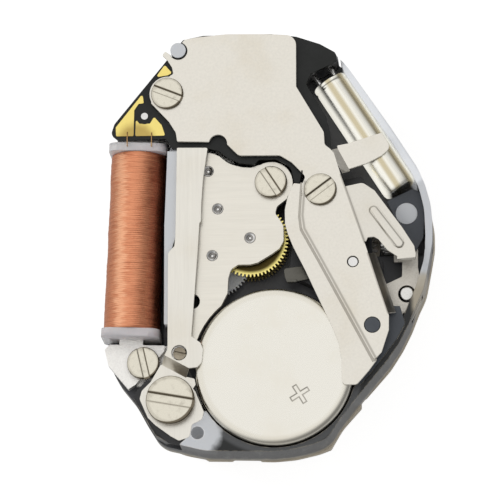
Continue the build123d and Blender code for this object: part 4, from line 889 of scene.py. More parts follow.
@dataclass(frozen=True)
class GildedCopper(Finish):
    """Thin gold on copper pads, browned in a round patch beside the coil."""

    colour: Colour = (0.90, 0.735, 0.235)
    tint: Colour = (0.40, 0.27, 0.08)
    spot: Point = (-4.85, 4.25)
    reach: Range = (0.55, 1.0)
    cloud_scale: float = 1500.0
    fine_scale: float = 9000.0
    depth: float = 0.004
    edge: float = 0.015

    def make(self) -> bpy.types.Material:
        """The patch is a soft disc round a spot, its brink broken by noise.

        Returns:
            The material.
        """
        graph = Graph(self.name)
        place = graph.place()
        cloud = graph.noise(place, self.cloud_scale, 3.0, 0.6)
        patch = graph.fade(graph.distance(place, self.spot) + (cloud - 0.5) * 0.25, *self.reach)
        shade = graph.mix(patch * 0.75, self.colour, self.tint)
        fine = graph.noise(place, self.fine_scale, 3.0, 0.6)
        return graph.metal(shade, graph.between(fine, 0.28, 0.48), graph.relief(fine, self.depth, self.edge))


@dataclass(frozen=True)
class WoundCopper(Finish):
    """Fine enamelled wire laid in turns, each turn with its own tone, under a painted highlight and painted
    shade.
    """

    colour: Colour = (0.82, 0.345, 0.185)
    tint: Colour = (0.40, 0.105, 0.050)
    # glint is the colour of the painted highlight, and deep that of the painted shade
    glint: Colour = (0.96, 0.52, 0.31)
    deep: Colour = (0.20, 0.026, 0.010)
    axis: float = -4.94
    radius: float = 1.19
    glint_at: float = -0.48
    glint_reach: Range = (0.04, 0.30)
    deep_reach: Range = (0.38, 0.86)
    laid: tuple[float, float, float] = (0.9, 13.0, 1.0)
    kinked: tuple[float, float, float] = (2.5, 26.0, 1.0)
    torn: tuple[float, float, float] = (0.35, 3.2, 0.35)
    torn_scale: float = 2400.0
    depth: float = 0.016

    def make(self) -> bpy.types.Material:
        """The chart's first number goes round the coil and its second goes along it, in millimetres.

        A torn band of painted highlight and a torn one of painted shade run along the winding, at their share
        of its radius to the side.

        Returns:
            The material.
        """
        graph = Graph(self.name)
        chart = graph.chart()
        turn = graph.noise(graph.moved(chart, self.laid), 1.6, 3.0, 0.7)
        kink = graph.noise(graph.moved(chart, self.kinked), 1.3, 2.0, 0.6)
        slow = graph.noise(chart, 1.2, 3.0, 0.5)
        dark = graph.band(turn, 0.35, 0.75) * 0.5 + graph.band(slow, 0.5, 0.8) * 0.3
        shade = graph.mix(dark, self.colour, self.tint)
        place = graph.place()
        torn = graph.noise(graph.moved(place, self.torn), self.torn_scale, 3.0, 0.75) - 0.5
        side = (graph.parts(place)[0] / MM - self.axis) / self.radius + torn * 0.9
        # painted highlight along the winding
        glint = graph.fade(abs(side - self.glint_at), *self.glint_reach) * 0.75
        # painted shade on the far side
        deep = graph.band(side, *self.deep_reach) * 0.62
        shade = graph.mix(deep, graph.mix(glint, shade, self.glint), self.deep)
        normal = graph.relief(turn * 0.7 + kink * 0.5, self.depth)
        return graph.metal(shade, graph.between(kink, 0.24, 0.52), normal, 0.92)


@dataclass(frozen=True)
class PrintedResin(Finish):
    """Black resin board with its woven ground, under pools of lacquer."""

    colour: Colour = (0.007, 0.008, 0.007)
    tint: Colour = (0.016, 0.017, 0.016)
    thread_turn: float = 42000.0
    pool_scale: float = 1300.0
    depth: float = 0.006
    edge: float = 0.02

    def make(self) -> bpy.types.Material:
        """The weave is two crossed waves, and lacquer pools are slow noise.

        Returns:
            The material.
        """
        graph = Graph(self.name)
        place = graph.place()
        x, y, _ = graph.parts(place)
        weave = graph.math("SINE", x * self.thread_turn) * graph.math("SINE", y * self.thread_turn)
        pool = graph.noise(place, self.pool_scale, 3.0, 0.6)
        inputs = {
            "Base Color": graph.mix(graph.band(pool, 0.4, 0.75), self.colour, self.tint),
            "Roughness": graph.between(pool, 0.30, 0.50),
            "Normal": graph.relief(weave * 0.3 + pool * 0.7, self.depth, self.edge),
            "Specular IOR Level": 0.32,
        }
        return graph.finish(inputs)


class Palette(Enum):
    """Finishes of the movement, each by its material."""

    COVER = FoldedSheet(
        "cover_steel", STEEL, (0.74, 0.67, 0.54), 0.36, Grain.NONE, 0.004, 0.45, flank=0.9,
        folds=(
            (2.36, 2.30, 2.25, 0.83), (2.25, 0.83, 2.33, 0.26), (2.33, 0.26, 3.14, -1.25),
            (3.14, -1.25, 5.46, -5.65), (3.88, 2.57, 4.87, -0.38), (5.00, -0.85, 5.83, -3.42),
        ),
        ribs=((5.27, 1.02, 6.33, -0.40, 0.17),),
    )
    CLAMP = SheetMetal(
        "clamp_steel", (0.79, 0.76, 0.69), (0.73, 0.67, 0.55), 0.34, Grain.ALONG_Y, 0.004, 0.4
    )
    BRIDGE = SheetMetal(
        "bridge_steel", (0.79, 0.755, 0.675), (0.74, 0.68, 0.565), 0.33, Grain.ALONG_X, 0.006, 0.3
    )
    CELL = StampedCan(
        "plated_can", (0.80, 0.775, 0.705), (0.76, 0.70, 0.58), 0.27, Grain.NONE, 0.003, 0.4
    )
    DIAL = SheetMetal(
        "stamped_dial_sheet", (0.62, 0.57, 0.48), (0.42, 0.36, 0.28), 0.42, Grain.ALONG_X, 0.006, 0.7
    )
    IRON = BlastedMetal("annealed_iron", (0.92, 0.90, 0.86), (0.72, 0.70, 0.67), 0.46)
    LEVER = BlastedMetal("blasted_lever", (0.64, 0.61, 0.55), (0.46, 0.42, 0.35), 0.46, 0.007)
    SCREW = TurnedMetal(
        "turned_screw_steel", (0.72, 0.68, 0.575), (0.13, 0.105, 0.07), 0.25, 22.0, 0.004, 0.19
    )
    BROWNED = SheetMetal(
        "browned_stud", (0.40, 0.35, 0.27), (0.10, 0.08, 0.055), 0.28, Grain.NONE, 0.004, 0.9, 0.02
    )
    PIN = TurnedMetal("polished_pin", (0.70, 0.69, 0.66), (0.40, 0.38, 0.34), 0.20, 9.0, 0.003)
    BUSH = TurnedBush("turned_bush", (0.80, 0.79, 0.77), (0.16, 0.145, 0.13), 0.18, 7.0, 0.004)
    ARBOR = SheetMetal(
        "arbor_steel", (0.76, 0.75, 0.73), (0.55, 0.53, 0.50), 0.24, Grain.NONE, 0.003, 0.3, 0.012
    )
    BRASS = WheelMetal("wheel_brass")
    # painted shade inside its radius, under the bridge
    SECONDS = WheelMetal("seconds_brass", tint=(0.07, 0.05, 0.015), shade_radius=1.52)
    # its dark colour is painted shade: the wheel lies in shade below the seconds wheel
    CENTRE = WheelMetal("centre_brass_shade", (0.20, 0.16, 0.07), (0.08, 0.06, 0.02))
    # its dark colour is painted shade: the lever lies deep in shade
    RESET = SheetMetal(
        "reset_steel_shade", (0.12, 0.115, 0.10), (0.04, 0.036, 0.028), 0.22, Grain.NONE, 0.004, 0.95, 0.03
    )
    CRYSTAL = DrawnCan("drawn_can", direction=CAN_DIRECTION, middle=CAN_SPOT, radius=0.75)
    GOLD = GildedCopper("gilded_pads")
    COPPER = WoundCopper("coil_copper")
    WIRE = SheetMetal(
        "lead_copper", (0.58, 0.36, 0.17), (0.38, 0.20, 0.09), 0.34, Grain.NONE, 0.002, 0.4, 0.008
    )
    BOARD = PrintedResin("lacquered_board")
    MILKY = MilkyPlate("milky_moulding")
    BOBBIN = Plastic(
        "clear_bobbin_moulding", (0.95, 0.93, 0.96), (0.88, 0.82, 0.85), 0.18, 0.004, 0.7, 0.22, 0.06
    )
    SLATE = Plastic("slate_moulding", (0.075, 0.085, 0.100), (0.055, 0.062, 0.075), 0.38, 0.004)
    BLACK = Plastic("black_moulding", (0.009, 0.009, 0.010), (0.018, 0.018, 0.019), 0.42, 0.005)
    WHITE = Plastic("white_moulding", (0.72, 0.74, 0.76), (0.62, 0.64, 0.66), 0.40, 0.003, 0.4, 0.0, 0.012)
    FILM = Plastic("insulating_film", (0.66, 0.65, 0.60), (0.58, 0.56, 0.50), 0.35, 0.003)
    MAGNET = BlastedMetal("sintered_magnet", (0.24, 0.23, 0.22), (0.14, 0.13, 0.12), 0.48, 0.006)

    def material(self) -> bpy.types.Material:
        """The finish's material, made once."""
        return bpy.data.materials.get(self.value.name) or self.value.make()


@dataclass
class Frame:
    """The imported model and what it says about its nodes."""

    packed: dict[str, Any]
    body_of: dict[str, str] = field(default_factory=dict)
    slot_of: dict[str, str] = field(default_factory=dict)
    merge_reach: float = 1e-8
    smooth_turn: float = 32.0

    def __post_init__(self) -> None:
        """Reads each node's body and slot from the record."""
        record = self.packed["record"]
        for body, nodes in record["behaviour"]["bodies"].items():
            self.body_of.update({node: body for node in nodes})
        self.slot_of = {row["node"]: row["material_slot"] for row in record["subparts"]}

    def seat(self, piece: bpy.types.Object, finish: Palette, *nodes: str) -> None:
        """Dresses a new piece, sets it on its node's body and lets it stand for its nodes.

        Args:
            piece: The new piece, in place.
            finish: Its finish.
            nodes: The nodes that it stands for.
        """
        piece.data.materials.clear()
        piece.data.materials.append(finish.material())
        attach(piece, self.body_of[nodes[0]])
        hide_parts(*nodes)
        LOG.info("%s: %d faces, for %s", piece.name, len(piece.data.polygons), ", ".join(nodes))

    def smooth(self, finish: Palette, *nodes: str, flats: bool = True) -> None:
        """Copies nodes, with their points merged and their round walls shaded smooth.

        Each face stores how far it looks up, for the finishes that read it.

        Args:
            finish: The nodes' finish.
            nodes: Names of the nodes, each of which its copy stands for.
            flats: True where faces that look up or down are flat sheets, whose folds stay crisp.
        """
        for node in nodes:
            mesh = self.packed["nodes"][node].data.copy()
            work = bmesh.new()
            work.from_mesh(mesh)
            bmesh.ops.remove_doubles(work, verts=work.verts, dist=self.merge_reach)
            work.to_mesh(mesh)
            work.free()
            mesh.polygons.foreach_set("use_smooth", np.ones(len(mesh.polygons), dtype=bool))
            mesh.set_sharp_from_angle(angle=math.radians(self.smooth_turn))
            upward = mesh.attributes.new("upward", "FLOAT", "FACE")
            upward.data.foreach_set("value", face_normals(mesh)[:, 2].astype(np.float32))
            if flats:
                sharpen_flats(mesh)
            piece = bpy.data.objects.new(node + "_dressed", mesh)
            bpy.context.scene.collection.objects.link(piece)
            self.seat(piece, finish, node)


def face_normals(mesh: bpy.types.Mesh) -> np.ndarray:
    """Reads the normals of a mesh's faces.

    Args:
        mesh: The mesh.

    Returns:
        The normals, one a row.
    """
    normals = np.empty(len(mesh.polygons) * 3)
    mesh.polygons.foreach_get("normal", normals)
    return normals.reshape(-1, 3)


def sharpen_flats(mesh: bpy.types.Mesh, level: float = 0.75, turn: float = 3.0) -> None:
    """Marks an edge sharp where one of its faces is nearly level and the other turns away from it.

    Args:
        mesh: A closed triangle mesh.
        level: Least upright share of a level face's normal.
        turn: Least turn between the two faces, in degrees.
    """
    count = len(mesh.polygons)
    normals = face_normals(mesh)
    totals, edges = np.empty(count, dtype=int), np.empty(len(mesh.loops), dtype=int)
    mesh.polygons.foreach_get("loop_total", totals)
    mesh.loops.foreach_get("edge_index", edges)
    owner = np.repeat(np.arange(count), totals)
    order = np.argsort(edges, kind="stable")
    edges, owner = edges[order], owner[order]
    both = np.flatnonzero(edges[:-1] == edges[1:])
    first, second = normals[owner[both]], normals[owner[both + 1]]
    bent = np.einsum("ij,ij->i", first, second) < math.cos(math.radians(turn))
    upright = np.maximum(np.abs(first[:, 2]), np.abs(second[:, 2])) > level
    sharp = np.empty(len(mesh.edges), dtype=bool)
    attribute = mesh.attributes.get("sharp_edge") or mesh.attributes.new("sharp_edge", "BOOLEAN", "EDGE")
    attribute.data.foreach_get("value", sharp)
    sharp[edges[both[bent & upright]]] = True
    attribute.data.foreach_set("value", sharp)


def circle(count: int) -> np.ndarray:
    """Points (cos a, sin a) of the unit circle for equal steps of the angle a."""
    angle = np.linspace(0.0, FULL_TURN, count, endpoint=False)
    return np.stack([np.cos(angle), np.sin(angle)], -1)


def net(rows: int, count: int, close_rows: bool = False, close_ring: bool = True) -> np.ndarray:
    """Faces of a grid of points: each joins a point, the next of its row, and the same two of the next row.

    Args:
        rows: Number of rows.
        count: Points in a row.
        close_rows: True if the last row joins the first.
        close_ring: True if the last point of a row joins its first.

    Returns:
        Point numbers, four a row.
    """
    steps = (rows if close_rows else rows - 1, count if close_ring else count - 1)
    row, column = np.indices(steps)
    after, above = (column + 1) % count, (row + 1) % rows
    corners = [row * count + column, row * count + after, above * count + after, above * count + column]
    return np.stack(corners, -1).reshape(-1, 4)


def solid(
    name: str,
    points: np.ndarray,
    faces: Sequence[np.ndarray],
    chart: np.ndarray | None = None,
    angle: float = 30.0,
) -> bpy.types.Object:
    """Mesh object from points in millimetres and arrays of faces.

    Args:
        name: Name of the object.
        points: Points, one a row.
        faces: Arrays of point numbers, one face a row.
        chart: Chart coordinates of the points, or None.
        angle: Largest turn that is smoothed, in degrees.

    Returns:
        The object, at the origin.
    """
    sizes = np.concatenate([np.full(len(part), part.shape[1]) for part in faces])
    loops = np.concatenate([part.ravel() for part in faces]).astype(np.int32)
    mesh = bpy.data.meshes.new(name)
    mesh.vertices.add(len(points))
    mesh.vertices.foreach_set("co", (points * MM).astype(np.float32).ravel())
    mesh.loops.add(len(loops))
    mesh.loops.foreach_set("vertex_index", loops)
    mesh.polygons.add(len(sizes))
    starts = np.concatenate([[0], np.cumsum(sizes)[:-1]]).astype(np.int32)
    mesh.polygons.foreach_set("loop_start", starts)
    mesh.polygons.foreach_set("use_smooth", np.ones(len(sizes), dtype=bool))
    if chart is not None:
        layer = mesh.uv_layers.new(name="chart")
        layer.data.foreach_set("uv", chart[loops].astype(np.float32).ravel())
    mesh.update(calc_edges=True)
    mesh.validate()
    mesh.set_sharp_from_angle(angle=math.radians(angle))
    piece = bpy.data.objects.new(name, mesh)
    bpy.context.scene.collection.objects.link(piece)
    return piece


def shell(name: str, grid: np.ndarray, chart: np.ndarray) -> bpy.types.Object:
    """Closed surface of a grid of points whose rows are rings, each end closed by one pole.

    The pole of an end is the mean of its ring, and a pole's face joins two neighbours of its ring.

    Args:
        name: Name of the object.
        grid: Points in millimetres, rings by points by three.
        chart: Chart coordinates of the same points, rings by points by two.

    Returns:
        The object, smooth and in metres.
    """
    rings, count, _ = grid.shape
    points, values = (
        np.vstack([part.reshape(-1, part.shape[-1]), part[0].mean(0), part[-1].mean(0)])
        for part in (grid, chart)
    )
    ring = np.arange(count)
    following = (ring + 1) % count
    low = np.stack([np.full(count, rings * count), following, ring], -1)
    last = (rings - 1) * count
    high = np.stack([np.full(count, rings * count + 1), last + ring, last + following], -1)
    return solid(name, points, [net(rings, count), low, high], values)


def rounded_profile(corners: Sequence[Point], radius: float, steps: int = 5) -> np.ndarray:
    """Profile through corners, each inner corner eased by a quadratic curve.

    A corner P between A and B becomes (1-t)^2 A' + 2t(1-t) P + t^2 B', where A' and B' lie a radius away
    from P on its two sides, or at a third of a shorter side.

    Args:
        corners: Points as radius and height, in millimetres.
        radius: How far from a corner its curve starts.
        steps: Points on each curve.

    Returns:
        Points of the profile, one a row.
    """
    path = np.array(corners, dtype=float)
    share = np.linspace(0.0, 1.0, steps)[:, None]
    out = [path[:1]]
    for before, here, after in zip(path[:-2], path[1:-1], path[2:]):
        first, last = (
            here + (side - here) * min(radius / np.linalg.norm(side - here), 0.33)
            for side in (before, after)
        )
        out.append((1 - share) ** 2 * first + 2 * share * (1 - share) * here + share**2 * last)
    out.append(path[-1:])
    return np.vstack(out)


def revolve(profile: np.ndarray, count: int) -> np.ndarray:
    """Surface of revolution: each profile point (r, h) becomes (r cos a, r sin a, h) for angles a.

    Args:
        profile: Points as radius and height.
        count: Points round a ring.

    Returns:
        Points, rings by points by three.
    """
    level = np.repeat(profile[:, None, 1:], count, 1)
    return np.concatenate([profile[:, None, :1] * circle(count)[None], level], -1)


def lathe(name: str, profile: np.ndarray, place: Matrix, count: int) -> bpy.types.Object:
    """Closed turned piece, with a chart that is one at its largest radius.

    Args:
        name: Name of the object.
        profile: Points as radius and height, from the low end to the high end.
        place: Matrix, in millimetres, from the lathe's frame to the movement's.
        count: Points round a ring.

    Returns:
        The object, with its chart.
    """
    local = revolve(profile, count)
    matrix = np.array(place)
    return shell(name, local @ matrix[:3, :3].T + matrix[:3, 3], local[..., :2] / profile[:, 0].max())


@dataclass
class SlottedHead:
    """Cheese-head screw seen from above: a turned head with a slot, and its shank."""

    name: str
    node: str
    spot: Point
    seat: float
    height: float
    angle: float
    shank_end: float = 1.15
    radius: float = 0.69
    slot_width: float = 0.26
    slot_depth: float = 0.12
    round_over: float = 0.06
    shank_radius: float = 0.22
    easing: float = 0.022
    crown: float = 0.012
    inset: float = 0.999
    # shift of the painted shadow crescent's spot from the axis
    lee_shift: float = 0.10
    rim_steps: int = 16
    floor_steps: int = 3
    chord_points: int = 41
    shank_points: int = 40

    def heights(self) -> tuple[np.ndarray, np.ndarray]:
        """Lines across the slot, and how deep each lies: the floor, the eased flanks and the land.

        Returns:
            Places of the lines across the slot, and their depths.
        """
        half = self.slot_width / 2
        land = half + self.easing
        to_rim = np.sin(np.linspace(0, math.pi / 2, self.rim_steps))
        outer = land + (self.radius * 0.9995 - land) * to_rim
        side = np.concatenate([[half, half, half + self.easing * 0.45], outer])
        flank = [self.slot_depth, self.easing * 0.9, self.easing * 0.25]
        drop = np.concatenate([flank, np.zeros(self.rim_steps)])
        floor = np.linspace(-half * self.inset, half * self.inset, self.floor_steps + 2)[1:-1]
        deep = np.full(self.floor_steps, self.slot_depth)
        return np.concatenate([-side[::-1], floor, side]), np.concatenate([drop[::-1], deep, drop])

    def grid(self) -> tuple[np.ndarray, np.ndarray]:
        """Head as chords of a disc: x = u sqrt(R^2 - v^2) and y = v, with a height for each.

        The height falls by a quarter circle near the rim, dips to the slot's floor between its flanks, and
        rolls over at the flanks' edges. A last ring of points drops to the seat.

        Returns:
            Points in the movement's frame and their chart, rows along the chords.
        """
        v, fall = self.heights()
        u = np.sin(np.linspace(-math.pi / 2, math.pi / 2, self.chord_points))
        chord = np.sqrt(np.maximum(self.radius**2 - v**2, 0.0))
        x = u[None, :] * chord[:, None]
        y = np.repeat(v[:, None], len(u), 1)
        far = np.hypot(x, y)
        out = np.clip((far - self.radius + self.round_over) / self.round_over, 0.0, 1.0)
        rim = self.round_over * (1.0 - np.sqrt(1.0 - out**2))
        top = self.height - np.maximum(rim, fall[:, None]) - self.crown * (far / self.radius) ** 2
        x, y = (np.pad(part, 1, mode="edge") for part in (x, y))
        z = np.pad(top, 1, constant_values=0.0)
        turn = math.radians(self.angle)
        across = self.spot[0] + x * math.cos(turn) - y * math.sin(turn)
        along = self.spot[1] + x * math.sin(turn) + y * math.cos(turn)
        return np.stack([across, along, self.seat + z], -1), np.stack([x, y], -1) / self.radius

    def build(self) -> bpy.types.Object:
        """Joins the head's grid, its underside and its shank in one mesh, and stores its lee.

        The lee is the distance from a spot beside the axis, in shares of the radius, and places the painted
        shadow crescent.

        Returns:
            The screw.
        """
        world, chart = self.grid()
        rows, columns, _ = world.shape
        row, column = np.indices((rows - 1, columns - 1))
        corner = ((row == 0) | (row == rows - 2)) & ((column == 0) | (column == columns - 2))
        top = net(rows, columns, close_ring=False)[~corner.ravel()]
        count = self.shank_points
        ring = circle(count)
        levels = (
            (self.radius * self.inset, self.seat), (self.shank_radius, self.seat),
            (self.shank_radius, self.shank_end),
        )
        lows = [
            np.hstack([np.array(self.spot) + ring * radius, np.full((count, 1), height)])
            for radius, height in levels
        ]
        points = np.vstack([world.reshape(-1, 3), *lows, [[*self.spot, self.shank_end]]])
        start = rows * columns
        sides = net(len(levels), count)[:, ::-1] + start
        here = np.arange(count)
        base = start + 2 * count
        tip = np.stack([np.full(count, base + count), base + (here + 1) % count, base + here], -1)
        flat = np.vstack([chart.reshape(-1, 2), np.tile(ring, (len(levels), 1)), [[0.0, 0.0]]])
        piece = solid(self.name, points, [top, sides, tip], flat, 35.0)
        spots = np.empty(len(piece.data.vertices) * 3)
        piece.data.vertices.foreach_get("co", spots)
        offset = (spots.reshape(-1, 3)[:, :2] / MM - np.array(self.spot)) / self.radius
        lee = np.hypot(offset[:, 0] + self.lee_shift, offset[:, 1] - self.lee_shift)
        piece.data.attributes.new("lee", "FLOAT", "POINT").data.foreach_set("value", lee)
        return piece


@dataclass
class Coil:
    """Fine winding on its bobbin, seen as many turns of hair-thin wire."""

    middle: tuple[float, float, float] = (-4.94, 0.0, 1.65)
    slant: float = -2.0
    length: float = 7.68
    radius: float = 1.175
    pitch: float = 0.082
    ridge: float = 0.016
    swell: float = 0.0132
    square: float = 0.018
    jitter: float = 0.005
    end_drop: float = 0.05
    end_ease: float = 0.12
    waves: tuple[float, ...] = (0.6, 1.1, 1.9, 3.1, 4.7)
    wave_bend: float = 1.4
    wave_fall: float = 0.35
    groove_power: float = 0.7
    reach: Range = (-4.2, 4.3)
    count: int = 84
    rows_a_turn: int = 7
    seed: int = 7

    def uneven(self, t: np.ndarray, angle: np.ndarray) -> np.ndarray:
        """How far the winding stands out of true: slow waves along it, and a chance step at each turn.

        Args:
            t: Places along the winding, as a column.
            angle: Angles round it, as a row.

        Returns:
            Differences of radius in millimetres, places by angles.
        """
        chance = np.random.default_rng(self.seed)
        wave = np.zeros_like(t * angle)
        for turns in self.waves:
            shift, lean = chance.uniform(0, FULL_TURN, 2)
            bend = np.sin(angle + lean) * self.wave_bend
            wave = wave + np.sin(t * turns + shift + bend) / (1 + self.wave_fall * turns)
        spots = np.arange(*self.reach, self.pitch)
        step = np.interp(t[:, 0], spots, chance.normal(0, 1, len(spots)))
        return self.swell * wave + self.jitter * step[:, None]

    def build(self, frame: Frame) -> None:
        """Builds the winding and dresses the bobbin, core and leads.

        Its radius is R, plus cos 4a for its squared section, plus its unevenness, less a groove between
        turns, |sin| of a phase that goes up once each turn, and less a drop at both ends.

        Args:
            frame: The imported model.
        """
        rows = int(self.length / self.pitch * self.rows_a_turn)
        t = np.linspace(-self.length / 2, self.length / 2, rows)[:, None]
        angle = np.linspace(math.pi, math.pi + FULL_TURN, self.count, endpoint=False)[None, :]
        phase = math.pi * (t / self.pitch - angle / FULL_TURN)
        groove = np.abs(np.sin(phase)) ** self.groove_power
        end = np.clip((self.length / 2 - np.abs(t)) / self.end_ease, 0.0, 1.0)
        radius = self.radius + self.square * np.cos(4 * angle) + self.uneven(t, angle)
        radius = radius - self.ridge * (1 - groove) - self.end_drop * (1 - end) ** 2
        local = np.stack([radius * np.cos(angle), radius * np.sin(angle), np.repeat(t, self.count, 1)], -1)
        lean = math.radians(self.slant)
        across = [math.cos(lean), math.sin(lean), 0.0]
        axis = [-math.sin(lean), math.cos(lean), 0.0]
        grid = local @ np.array([[0.0, 0.0, 1.0], across, axis]) + np.array(self.middle)
        chart = np.stack(np.broadcast_arrays(angle, t), -1)
        frame.seat(shell("coil_wire", grid, chart), Palette.COPPER, "coil_winding", "coil_inner_layers")
        frame.smooth(Palette.BOBBIN, "coil_bobbin", flats=False)
        frame.smooth(Palette.IRON, "coil_core")
        frame.smooth(Palette.WIRE, "coil_leads", flats=False)


@dataclass
class Fasteners:
    """Screws, the slotted stud and the pins."""

    pin_spot: Point = (6.60, -2.35)
    pin_radius: float = 0.30
    pin_low: float = 0.85
    pin_high: float = 1.87
    hub: float = 0.001

    def screws(self) -> list[SlottedHead]:
        """The screws with heads that show."""
        return [
            SlottedHead("cover_screw_left", "cover_screws", (-3.50, 6.24), 3.09, 0.15, -22.0),
            SlottedHead("cover_screw_right", "cover_screws", (3.02, 1.93), 3.09, 0.15, 37.0),
            SlottedHead("bridge_screw_head", "bridge_screw", (0.90, 2.38), 2.60, 0.25, -57.0),
            SlottedHead("coil_screw_head", "coil_screw", (-4.55, -5.24), 1.85, 0.30, -77.0, 0.89),
            SlottedHead(
                "clamp_screw_head", "clamp_screw", (-3.35, -6.96), 2.40, 0.40, -10.0,
                radius=1.03, slot_width=0.38,
            ),
        ]

    def build(self, frame: Frame) -> None:
        """Builds the screws and the lever's pin, and dresses the stud, posts and other pins.

        Args:
            frame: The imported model.
        """
        for screw in self.screws():
            frame.seat(screw.build(), Palette.SCREW, screw.node)
        frame.smooth(Palette.BROWNED, "stop_stud")
        frame.smooth(Palette.BRASS, "screw_posts")
        frame.smooth(Palette.ARBOR, "guide_pin", "reset_pin")
        low, high, radius = self.pin_low, self.pin_high, self.pin_radius
        pin = rounded_profile([(self.hub, low), (radius, low), (radius, high), (self.hub, high)], 0.07)
        piece = lathe("lever_pin_turned", pin, Matrix.Translation((*self.pin_spot, 0.0)), 48)
        frame.seat(piece, Palette.PIN, "lever_pin")


@dataclass
class Cell:
    """Button cell: a drawn can, a gasket and a cap, with its terminal and insulator."""

    spot: Point = CELL_SPOT
    radius: float = 3.35
    bottom: float = 0.34
    top: float = 2.84
    well: float = 2.95
    well_top: float = 0.84
    shoulder: float = 0.28
    dish: float = 0.012
    dish_ease: float = 0.25
    hub: float = 0.02
    foot_ease: float = 0.06
    lip_height: float = 0.03
    lip_width: float = 0.04
    count: int = 288

    def build(self, frame: Frame) -> None:
        """Turns the can's profile: well, foot, side, rounded shoulder and a faint dish.

        Args:
            frame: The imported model.
        """
        low, high, radius, ease = self.bottom, self.top, self.radius, self.shoulder
        corner = np.linspace(0.0, math.pi / 2, 14)
        shoulder = np.stack([radius - ease + ease * np.cos(corner), high - ease + ease * np.sin(corner)], -1)
        land = radius - ease
        across = land - np.linspace(self.hub, 1.0, 90) * (land - self.hub)
        sink = self.dish * np.clip((land - across) / self.dish_ease, 0.0, 1.0)
        foot = [
            (self.hub, self.well_top), (self.well, self.well_top), (self.well, low + self.lip_height),
            (self.well + self.lip_width, low), (radius - self.foot_ease, low), (radius, low + self.foot_ease),
        ]
        profile = np.vstack([np.array(foot), shoulder, np.stack([across, high - sink], -1)])
        piece = lathe("cell_drawn_can", profile, Matrix.Translation((*self.spot, 0.0)), self.count)
        frame.seat(piece, Palette.CELL, "cell_can")
        frame.smooth(Palette.CELL, "cell_cap")
        frame.smooth(Palette.BLACK, "cell_gasket")
        frame.smooth(Palette.GOLD, "cell_terminal")
        frame.smooth(Palette.FILM, "cell_insulator")


@dataclass
class Crystal:
    """Tuning crystal in its drawn can, crimped at the lead end."""

    middle: tuple[float, float, float] = (*CAN_SPOT, 1.91)
    direction: float = CAN_DIRECTION
    length: float = 5.70
    lead_end: tuple[Point, ...] = (
        (0.01, 0.10), (0.42, 0.10), (0.46, 0.0), (0.70, 0.0), (0.75, 0.05), (0.75, 0.16), (0.715, 0.21),
        (0.715, 0.26), (0.748, 0.34),
    )
    blind_end: tuple[Point, ...] = (
        (0.748, 0.30), (0.735, 0.16), (0.70, 0.06), (0.62, 0.0), (0.30, 0.02), (0.01, 0.02),
    )

    def build(self, frame: Frame) -> None:
        """Turns the can's profile along its axis, with a crimped ring at the leads and a domed blind end.

        Each end's points are radii and distances from that end.

        Args:
            frame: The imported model.
        """
        half = self.length / 2
        corners = [(radius, inset - half) for radius, inset in self.lead_end]
        corners += [(radius, half - inset) for radius, inset in self.blind_end]
        place = (
            Matrix.Translation(self.middle)
            @ Matrix.Rotation(math.radians(self.direction), 4, "Z")
            @ Matrix.Rotation(math.pi / 2, 4, "Y")
        )
        piece = lathe("crystal_drawn_can", rounded_profile(corners, 0.05), place, 96)
        frame.seat(piece, Palette.CRYSTAL, "crystal_can")
        frame.smooth(Palette.ARBOR, "crystal_leads", flats=False)


@dataclass
class GearTrain:
    """Bridge, its bushes, the stator and the wheels."""

    spots: tuple[Point, ...] = ((0.0, 0.0), (-1.600, -0.750), (-1.369, 1.281), (-1.780, 2.931))
    bridge: float = 2.35
    bridge_top: float = 2.60
    bush: float = 0.236
    hole: float = 0.07
    mouth: float = 0.085
    count: int = 40

    def bushes(self) -> bpy.types.Object:
        """Turned bushes with oil sinks, as one mesh of closed rings.

        Returns:
            The bushes.
        """
        low, top = self.bridge, self.bridge_top
        corners = [
            (self.mouth, low), (self.bush, low), (self.bush, top), (0.205, top), (0.185, top - 0.02),
            (0.12, top - 0.065), (self.mouth, top - 0.07), (self.hole, top - 0.10), (self.hole, low + 0.02),
            (self.mouth, low),
        ]
        local = revolve(rounded_profile(corners, 0.012, 4), self.count)
        faces = net(len(local), self.count, close_rows=True)
        chart = (local[..., :2] / self.bush).reshape(-1, 2)
        points = local.reshape(-1, 3)
        return solid(
            "bridge_bushes",
            np.vstack([points + np.array([*spot, 0.0]) for spot in self.spots]),
            [faces + number * len(points) for number in range(len(self.spots))],
            np.tile(chart, (len(self.spots), 1)),
            40.0,
        )

    def build(self, frame: Frame) -> None:
        """Builds the bushes and dresses the train.

        Args:
            frame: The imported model.
        """
        frame.seat(self.bushes(), Palette.BUSH, "pivot_bushes")
        frame.smooth(Palette.BRIDGE, "train_bridge")
        frame.smooth(Palette.IRON, "stator")
        frame.smooth(Palette.SECONDS, "seconds_wheel")
        frame.smooth(Palette.CENTRE, "centre_wheel")
        frame.smooth(Palette.BRASS, "minute_wheel", "hour_wheel")
        frame.smooth(Palette.WHITE, "third_wheel", "fifth_wheel")
        arbors = ("seconds_arbor", "third_arbor", "fifth_arbor", "rotor_arbor", "cannon_pinion")
        frame.smooth(Palette.ARBOR, *arbors)
        frame.smooth(Palette.MAGNET, "rotor_magnet")


@dataclass
class Setting:
    """Setting wheel, clutch, yoke, setting lever and reset lever."""

    def build(self, frame: Frame) -> None:
        """Dresses the setting parts.

        Args:
            frame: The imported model.
        """
        frame.smooth(Palette.ARBOR, "setting_wheel", "clutch_wheel")
        frame.smooth(Palette.LEVER, "yoke", "setting_lever")
        frame.smooth(Palette.RESET, "reset_lever")


